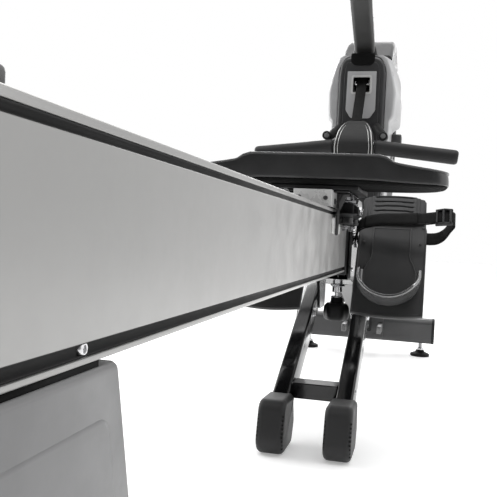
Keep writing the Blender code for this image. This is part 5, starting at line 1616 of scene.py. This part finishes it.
def build_pedal(side, sign):
    view = (X_AXIS * sign, PEDAL_WAY, PEDAL_OUT)
    low, high, mid = 0.0472, 0.1792, PEDAL_MID
    heel_edge = [(low + (high - low) * i / 14, -0.006 * math.sin(math.pi * i / 14))
                 for i in range(15)]
    outline = heel_edge + [
        (high, 0.188), (0.1785, 0.1945), (0.1768, 0.201), (0.1755, PEDAL_LONG - 0.013),
        (0.1735, PEDAL_LONG - 0.0095), (0.16, PEDAL_LONG - 0.006), (0.145, PEDAL_LONG - 0.0032),
        (mid, PEDAL_LONG - 0.0012), (0.08, PEDAL_LONG - 0.0032), (0.065, PEDAL_LONG - 0.006),
        (0.0515, PEDAL_LONG - 0.0095), (0.05, PEDAL_LONG - 0.013), (0.0492, 0.201),
        (0.048, 0.1945), (low, 0.188),
    ]
    board = domed(
        f"foot_board_{side}", outline,
        [(0.0022, -0.01), (0.0006, -0.0094), (0.0, -0.008), (0.0, -0.0014), (0.0005, -0.0004),
         (0.0016, 0.0), (0.0042, 0.0), (0.005, -0.0006), (0.0062, -0.0006)],
        view, HEEL,
    )
    piece(board, "base", PEDAL_PLASTIC, [f"foot_plate_{side}"], edge=None)

    rows = []
    s_low = 0.2052
    for i in range(65):
        share = i / 64
        row = []
        for j in range(73):
            u = -1 + 2 * j / 72
            s_high = PEDAL_LONG - 0.0016 - 0.0052 * u * u
            s = s_low + (s_high - s_low) * share
            x = mid + u * (0.0588 + 0.0014 * share - 0.003 * ease(share, 0.93, 1.0))
            ends = min(ease(s, s_low - 0.002, s_low + 0.003), 1 - 0.85 * ease(s, s_high - 0.0045, s_high))
            row.append((x, s, max(0.0006, toe_height(x, s) * ends)))
        rows.append(row)
    toe = relief(f"toe_block_{side}", rows, lambda a, b: -0.006, view, HEEL)
    toe.data.set_sharp_from_angle(angle=math.radians(50))
    slot = rectangle((mid - TONGUE_HALF - 0.0008, 0.19), (mid + TONGUE_HALF + 0.0008, 0.239))
    carve(toe, extruded("tongue_room", [slot], view, -0.001, 0.0045, HEEL))
    piece(toe, "base", TOE_PLASTIC, edge=None)

    shape = bmesh.new()
    saddle = rectangle((0.052, 0.156), (0.174, 0.194), 0.003, 3)
    lay_rings(shape, [[placed(view, HEEL, a, b, -0.029) for a, b in inset(saddle, 0.002)],
                      [placed(view, HEEL, a, b, -0.027) for a, b in saddle],
                      [placed(view, HEEL, a, b, -0.006) for a, b in saddle]])
    for index in range(5):
        x0 = 0.062 + 0.0243 * index
        ring = rectangle((x0, 0.012), (x0 + 0.0032, 0.156), 0.001, 2)
        lay_rings(shape, [[placed(view, HEEL, a, b, -0.016) for a, b in inset(ring, 0.0006)],
                          [placed(view, HEEL, a, b, -0.009) for a, b in ring]])
    piece(settle(f"foot_board_ribs_{side}", shape), "base", PEDAL_PLASTIC, edge=0.0003)
    heads = []
    for x, s, radius in ((0.0535, 0.199, 0.0024), (0.1715, 0.199, 0.0024), (0.059, 0.16, 0.0026),
                         (0.1672, 0.16, 0.0026)):
        heads.append((placed(view, HEEL, x, s, 0.0002), PEDAL_OUT, radius, "socket"))
    hardware(f"pedal_screws_{side}", heads, "base", DARK_GREY)
    build_heel_cup(side, view)
    build_foot_strap(side, sign, view)


def build_heel_cup(side, view):
    """The sliding heel cup: a U wall, a sole plate and the tongue that carries it."""
    mid, centre_s, outer_r, inner_r = PEDAL_MID, 0.076, 0.0598, 0.0542
    arm_end = 0.0918
    line = [(mid + outer_r, arm_end), (mid + outer_r, 0.086)]
    line += arc((mid, centre_s), outer_r, 0, -180, 52)
    line += [(mid - outer_r, 0.086), (mid - outer_r, arm_end)]

    def rim(s):
        """The wall's height: level at the heel, sloping down along its arms."""
        return min(0.0338, 0.0404 - (s - 0.03) * 0.4675)

    rings = []
    for x, s in line:
        if s > centre_s:
            normal = Vector((1 if x > mid else -1, 0))
        else:
            normal = (Vector((x, s)) - Vector((mid, centre_s))).normalized()
        top = rim(s)
        wall = outer_r - inner_r
        section = [(0.0, 0.0008), (-0.0003, top * 0.45), (0.0, top - 0.0036), (0.0004, top - 0.0026),
                   (0.0002, top - 0.001), (-0.0012, top), (-wall + 0.0014, top),
                   (-wall + 0.0002, top - 0.0008), (-wall - 0.0002, top - 0.0024),
                   (-wall - 0.0004, top * 0.5), (-wall - 0.001, 0.007), (-wall - 0.0028, 0.0046),
                   (-wall - 0.006, 0.0036), (-wall - 0.006, 0.0008)]
        rings.append([
            placed(view, HEEL, x + normal.x * a, s + normal.y * a, out) for a, out in section
        ])
    wall_piece = skin(f"heel_cup_wall_{side}", rings)
    body = f"heel_cup_{side}"
    piece(wall_piece, body, CUP_PLASTIC, [body], edge=None)
    wall_piece.data.set_sharp_from_angle(angle=math.radians(60))
    lip = []
    for x, s in line:
        normal = (Vector((x, s)) - Vector((mid, min(s, centre_s)))).normalized()
        top = rim(s)
        lip.append(placed(view, HEEL, x - normal.x * 0.0012, s - normal.y * 0.0012, top - 0.0004))
    bead = swept(f"heel_cup_bead_{side}", lip, circle(0.0009, 8))
    piece(bead, body, CUP_EDGE, edge=None)

    near = inner_r - 0.004
    shoulder = [(near, 0.0918), (0.044, 0.1105), (0.0395, 0.119), (0.0373, 0.128), (0.0373, 0.1942)]
    floor = arc((mid, centre_s), near, 180, 360, 44)
    floor += [(mid + x, s) for x, s in shoulder] + [(mid - x, s) for x, s in shoulder[::-1]]
    plate = domed(
        f"heel_cup_floor_{side}", floor,
        [(0, 0.0008), (0, 0.003), (0.0005, 0.0037), (0.0014, 0.004), (0.0028, 0.004),
         (0.0033, 0.0035), (0.0044, 0.0033)],
        view, HEEL,
    )
    piece(plate, body, PEDAL_PLASTIC, edge=None)


STRAP_ALONG = (0.1676, 0.1959)


def strap_arch():
    return smooth_path([
        (0.0445, -0.006), (0.0442, 0.012), (0.058, 0.031), (0.09, 0.0435), (0.12, 0.0465),
        (0.15, 0.0495), (0.178, 0.0535), (0.205, 0.06), (0.224, 0.0595), (0.2285, 0.049),
        (0.222, 0.032), (0.212, 0.006), (0.2, -0.008), (0.187, -0.012), (0.17, -0.0118),
    ], 8)


def build_foot_strap(side, sign, view):
    arch = strap_arch()
    mid_s = sum(STRAP_ALONG) / 2
    half = (STRAP_ALONG[1] - STRAP_ALONG[0]) / 2
    path = [placed(view, HEEL, x, mid_s, out) for x, out in arch]
    thick, edge = 0.0011, 0.0005
    section = [(-half, -thick + edge), (-half + edge, -thick), (-half * 0.5, -thick),
               (half * 0.5, -thick), (half - edge, -thick), (half, -thick + edge),
               (half, thick - edge), (half - edge, thick), (half * 0.5, thick),
               (-half * 0.5, thick), (-half + edge, thick), (-half, thick - edge)]
    strap = swept(f"foot_strap_web_{side}", path, section, PEDAL_WAY)
    piece(strap, "base", FOOT_WEBBING, [f"foot_strap_{side}"], edge=None)

    def directions(index):
        """Along the strap and away from the foot, at one point of its path."""
        way = (path[index + 1] - path[index]).normalized()
        out = PEDAL_WAY.cross(way) * -sign
        return way, (-out if out.dot(PEDAL_OUT) < 0 else out)

    shape = bmesh.new()
    for offset in (-half + 0.0022, half - 0.0022):
        for index in range(9, 50):
            at, after = path[index], path[index + 1]
            way, out = directions(index)
            for share in (0.15, 0.65):
                base = at.lerp(after, share) + PEDAL_WAY * offset + out * (thick - 0.0001)
                tip = base + way * min(0.0016, (after - at).length * 0.36)
                ring = []
                for place in (base, tip):
                    ring.append([place - PEDAL_WAY * 0.0003, place + PEDAL_WAY * 0.0003,
                                 place + PEDAL_WAY * 0.0002 + out * 0.0003,
                                 place - PEDAL_WAY * 0.0002 + out * 0.0003])
                lay_rings(shape, ring)
    piece(settle(f"foot_strap_stitches_{side}", shape), "base", DARK_GREY, edge=None)
    ply_first, ply_last = 17, 44
    ply_path = []
    for index in range(ply_first, ply_last):
        ply_path.append(path[index] + directions(index)[1] * (2 * thick + 0.0002))
    ply = swept(f"foot_strap_ply_{side}", ply_path, [(a * 0.94, b) for a, b in section], PEDAL_WAY)
    piece(ply, "base", FOOT_WEBBING, edge=None)
    build_buckle(side, view, mid_s)


def build_buckle(side, view, mid_s):
    """A ladder buckle on the strap's outer shoulder: two side rails joined by cross bars."""
    start, end = Vector((0.197, 0.058)), Vector((0.2225, 0.0618))
    way = (end - start).normalized()
    lift = Vector((-way.y, way.x))
    long = (end - start).length

    def at(along, s, out):
        place = start + way * along + lift * out
        return placed(view, HEEL, place.x, s, place.y)

    shape = bmesh.new()
    for s0, s1 in ((-0.0176, -0.0142), (0.0142, 0.0176)):
        ring = rounded([(-0.004, -0.0034, 0.001), (long + 0.002, -0.0034, 0.002),
                        (long + 0.002, 0.0032, 0.002), (long * 0.5, 0.0062, 0.004),
                        (-0.004, 0.0036, 0.001)], 4)
        lay_rings(shape, [[at(a, mid_s + s, b) for a, b in inset(ring, shrink)]
                          for s, shrink in ((s0, 0.0006), (s0 + 0.0006, 0.0), (s1 - 0.0006, 0.0),
                                            (s1, 0.0006))])
    for along, out, radius in ((-0.001, 0.0042, 0.0018), (0.011, 0.0042, 0.0024),
                               (0.0235, 0.0034, 0.0022)):
        ring = [(along + a, out + b) for a, b in circle(radius, 16)]
        lay_rings(shape, [[at(a, mid_s + s, b) for a, b in ring] for s in (-0.0146, 0.0146)])
    buckle = settle(f"foot_buckle_{side}", shape)
    piece(buckle, "base", BLACK_PLASTIC, edge=0.0003)


# ---------------------------------------------------------------- handle
POD_HALF = [
    (0.5452, 0.0405), (0.552, 0.042), (0.557, 0.0452), (0.57, 0.0464), (0.582, 0.0466),
    (0.6, 0.0446), (0.619, 0.0412), (0.633, 0.0358), (0.642, 0.0298), (0.648, 0.0232),
    (0.65, 0.02),
]
POD_REAR = [(0.545, 0.405), (0.56, 0.4018), (0.575, 0.3996), (0.585, 0.3988), (0.593, 0.4002),
            (0.6, 0.4032), (0.608, 0.4082), (0.616, 0.4146), (0.624, 0.422), (0.633, 0.4312),
            (0.642, 0.4407), (0.65, 0.449)]
POD_FRONT = [(0.545, 0.452), (0.555, 0.458), (0.6, 0.467), (0.65, 0.4645)]


def pod_rear(x, z):
    """How far back the pod's face stands at (x, z): domed across, dished inside its trim."""
    half = between(z, POD_HALF)
    rim = min(half - abs(x), (0.6505 - z) * 1.2, (z - 0.5445) * 1.5)
    roll = math.sqrt(max(0.0, 1 - (1 - min(1.0, max(0.0, rim) / 0.0045)) ** 2))
    crown = 0.0045 * (x / 0.0466) ** 2
    face = between(z, POD_REAR) + crown
    dish = 0.0012 * ease(rim, 0.0085, 0.0105)
    return face + dish + (1 - roll) * 0.0075


def build_handle():
    rows = []
    low, high = POD_HALF[0][0], POD_HALF[-1][0]
    for i in range(57):
        z = low + (high - low) * i / 56
        half = between(z, POD_HALF)
        row = []
        for j in range(45):
            x = -half * math.cos(math.pi * j / 44)
            row.append((x, z, -pod_rear(x, z)))
        rows.append(row)
    pod = relief("handle_pod_shell", rows, lambda x, z: -between(z, POD_FRONT), BACK_VIEW)
    pod.data.set_sharp_from_angle(angle=math.radians(50))
    piece(pod, "handle", POD_GRAIN, ["handle_pod"], edge=None)

    trim_low = 0.5485
    for name, margin, radius, stop in (("outer", 0.003, 0.0011, 0.643), ("inner", 0.0098, 0.0008, 0.635)):
        for side, sign in SIDES.items():
            path = []
            for i in range(40):
                z = trim_low + margin * 0.3 + (stop - trim_low) * i / 39
                x = sign * (between(z, POD_HALF) - margin)
                path.append(Vector((x, pod_rear(x, z) + radius * 0.15, z)))
            trim = swept(f"handle_pod_trim_{name}_{side}", path,
                         lambda share, r=radius: circle(r * (1 - 0.75 * ease(share, 0.75, 1.0)), 10))
            piece(trim, "handle", PALE_SILVER, edge=None)

    carried("handle_bar", SATIN_STEEL, 0)
    slope = math.atan(HANDLE_DROOP)
    for side, sign in SIDES.items():
        axis = Vector((sign * math.cos(slope), 0, -math.sin(slope)))
        long = 0.24 / math.cos(slope)
        start = 0.05 / math.cos(slope)
        r = 0.017
        profile = [
            (0.0113, start), (0.0148, start), (0.0162, start + 0.0006), (0.0169, start + 0.002),
            (r, start + 0.0045), (0.0168, start + 0.06), (0.0167, (start + long) / 2),
            (0.0168, long - 0.06), (r, long - 0.011), (0.0168, long - 0.0075),
            (0.016, long - 0.0045), (0.0147, long - 0.0022), (0.0128, long - 0.0007), (0.0105, long),
            (0.006, long), (0.0055, long - 0.001), (0.0, long - 0.001),
        ]
        grip = turned(f"grip_sleeve_{side}", profile, HANDLE_MID, axis, 56)
        piece(grip, "handle", GRIP_RUBBER, [f"grip_{side}"], edge=None)
        collar = turned(
            f"grip_collar_{side}",
            [(0.0113, start - 0.0042), (0.015, start - 0.0042), (0.0156, start - 0.0034),
             (0.0156, start - 0.0008), (0.0113, start - 0.0008)],
            HANDLE_MID, axis, 48, hollow=True,
        )
        piece(collar, "handle", BLACK_PLASTIC, edge=None)


# ---------------------------------------------------------------- stage, light and camera
def build_stage():
    mesh = bpy.data.meshes.new("studio_floor")
    reach = 14.0
    mesh.from_pydata([(-reach, -reach, 0), (reach, -reach, 0), (reach, reach, 0), (-reach, reach, 0)],
                     [], [(0, 1, 2, 3)])
    floor = bpy.data.objects.new("studio_floor", mesh)
    bpy.context.scene.collection.objects.link(floor)
    nodes = Nodes("studio_floor")
    tone = nodes.mixed(nodes.noise(0.8, 3.0), (0.93, 0.93, 0.93), (0.96, 0.96, 0.96))
    nodes.join(tone, nodes.shader.inputs["Base Color"])
    nodes.shader.inputs["Emission Color"].default_value = (1.0, 1.0, 1.0, 1.0)
    nodes.shader.inputs["Roughness"].default_value = 0.9
    nodes.shader.inputs["Specular IOR Level"].default_value = 0.1
    nodes.shader.inputs["Emission Strength"].default_value = 0.3
    floor.data.materials.append(nodes.material)


def area_light(name, place, target, size, power):
    data = bpy.data.lights.new(name, "AREA")
    data.shape = "RECTANGLE"
    data.size, data.size_y = size
    data.energy = power
    light = bpy.data.objects.new(name, data)
    light.location = place
    light.rotation_euler = (Vector(target) - Vector(place)).to_track_quat("-Z", "Y").to_euler()
    bpy.context.scene.collection.objects.link(light)


def build_light():
    world = bpy.data.worlds.new("studio")
    bpy.context.scene.world = world
    world.use_nodes = True
    tree = world.node_tree
    background = tree.nodes["Background"]
    way = tree.nodes.new("ShaderNodeTexCoord")
    split = tree.nodes.new("ShaderNodeSeparateXYZ")
    tree.links.new(way.outputs["Generated"], split.inputs[0])
    fade = tree.nodes.new("ShaderNodeMapRange")
    fade.interpolation_type = "SMOOTHSTEP"
    for key, number in zip(("From Min", "From Max", "To Min", "To Max"), (-0.75, 0.1, 0.12, 1.0)):
        fade.inputs[key].default_value = number
    tree.links.new(split.outputs["Y"], fade.inputs["Value"])
    seen = tree.nodes.new("ShaderNodeLightPath").outputs["Is Camera Ray"]
    paper = tree.nodes.new("ShaderNodeMath")
    paper.operation = "MAXIMUM"
    tree.links.new(fade.outputs["Result"], paper.inputs[0])
    tree.links.new(seen, paper.inputs[1])
    tree.links.new(paper.outputs[0], background.inputs["Color"])
    background.inputs["Strength"].default_value = 1.0
    area_light("right_softbox", (1.9, -0.1, 1.1), (0.0, 0.0, 0.35), (1.4, 1.4), 4)
    area_light("top_softbox", (0.1, 0.2, 2.6), (0.0, 0.2, 0.4), (2.2, 2.2), 40)
    area_light("left_softbox", (-2.0, 0.4, 1.3), (0.0, 0.3, 0.5), (1.4, 1.6), 22)
    area_light("rear_strip", (-0.5, 2.4, 1.5), (0.0, 0.5, 0.5), (2.0, 0.8), 26)


CAMERA_PLACE = Vector((0.1741, -1.3038, 0.3629))
CAMERA_YAW, CAMERA_PITCH, CAMERA_ROLL = 0.2382, -0.0197, 0.0504
CAMERA_LENS = 52.16


def build_camera():
    data = bpy.data.cameras.new("camera")
    data.lens = CAMERA_LENS
    data.sensor_width = 36.0
    data.clip_start = 0.01
    camera = bpy.data.objects.new("camera", data)
    ahead = Vector((-math.sin(CAMERA_YAW) * math.cos(CAMERA_PITCH),
                    math.cos(CAMERA_YAW) * math.cos(CAMERA_PITCH), math.sin(CAMERA_PITCH)))
    right = Vector((math.cos(CAMERA_YAW), math.sin(CAMERA_YAW), 0))
    up = right.cross(ahead)
    tilted = right * math.cos(CAMERA_ROLL) + up * math.sin(CAMERA_ROLL)
    upright = up * math.cos(CAMERA_ROLL) - right * math.sin(CAMERA_ROLL)
    turn = Matrix((tilted, upright, -ahead)).transposed().to_4x4()
    camera.matrix_world = Matrix.Translation(CAMERA_PLACE) @ turn
    bpy.context.scene.collection.objects.link(camera)
    bpy.context.scene.camera = camera


bpy.context.scene.view_settings.view_transform = "Standard"
for build in (build_camera, build_stage, build_light, build_rail, build_rear_leg, build_seat,
              build_carriage, build_legs, build_yoke, build_spine, build_drive, build_pull_strap,
              build_drum, build_tower, build_arm, build_console):
    build()
for side_name, side_sign in SIDES.items():
    build_pedal(side_name, side_sign)
build_handle()
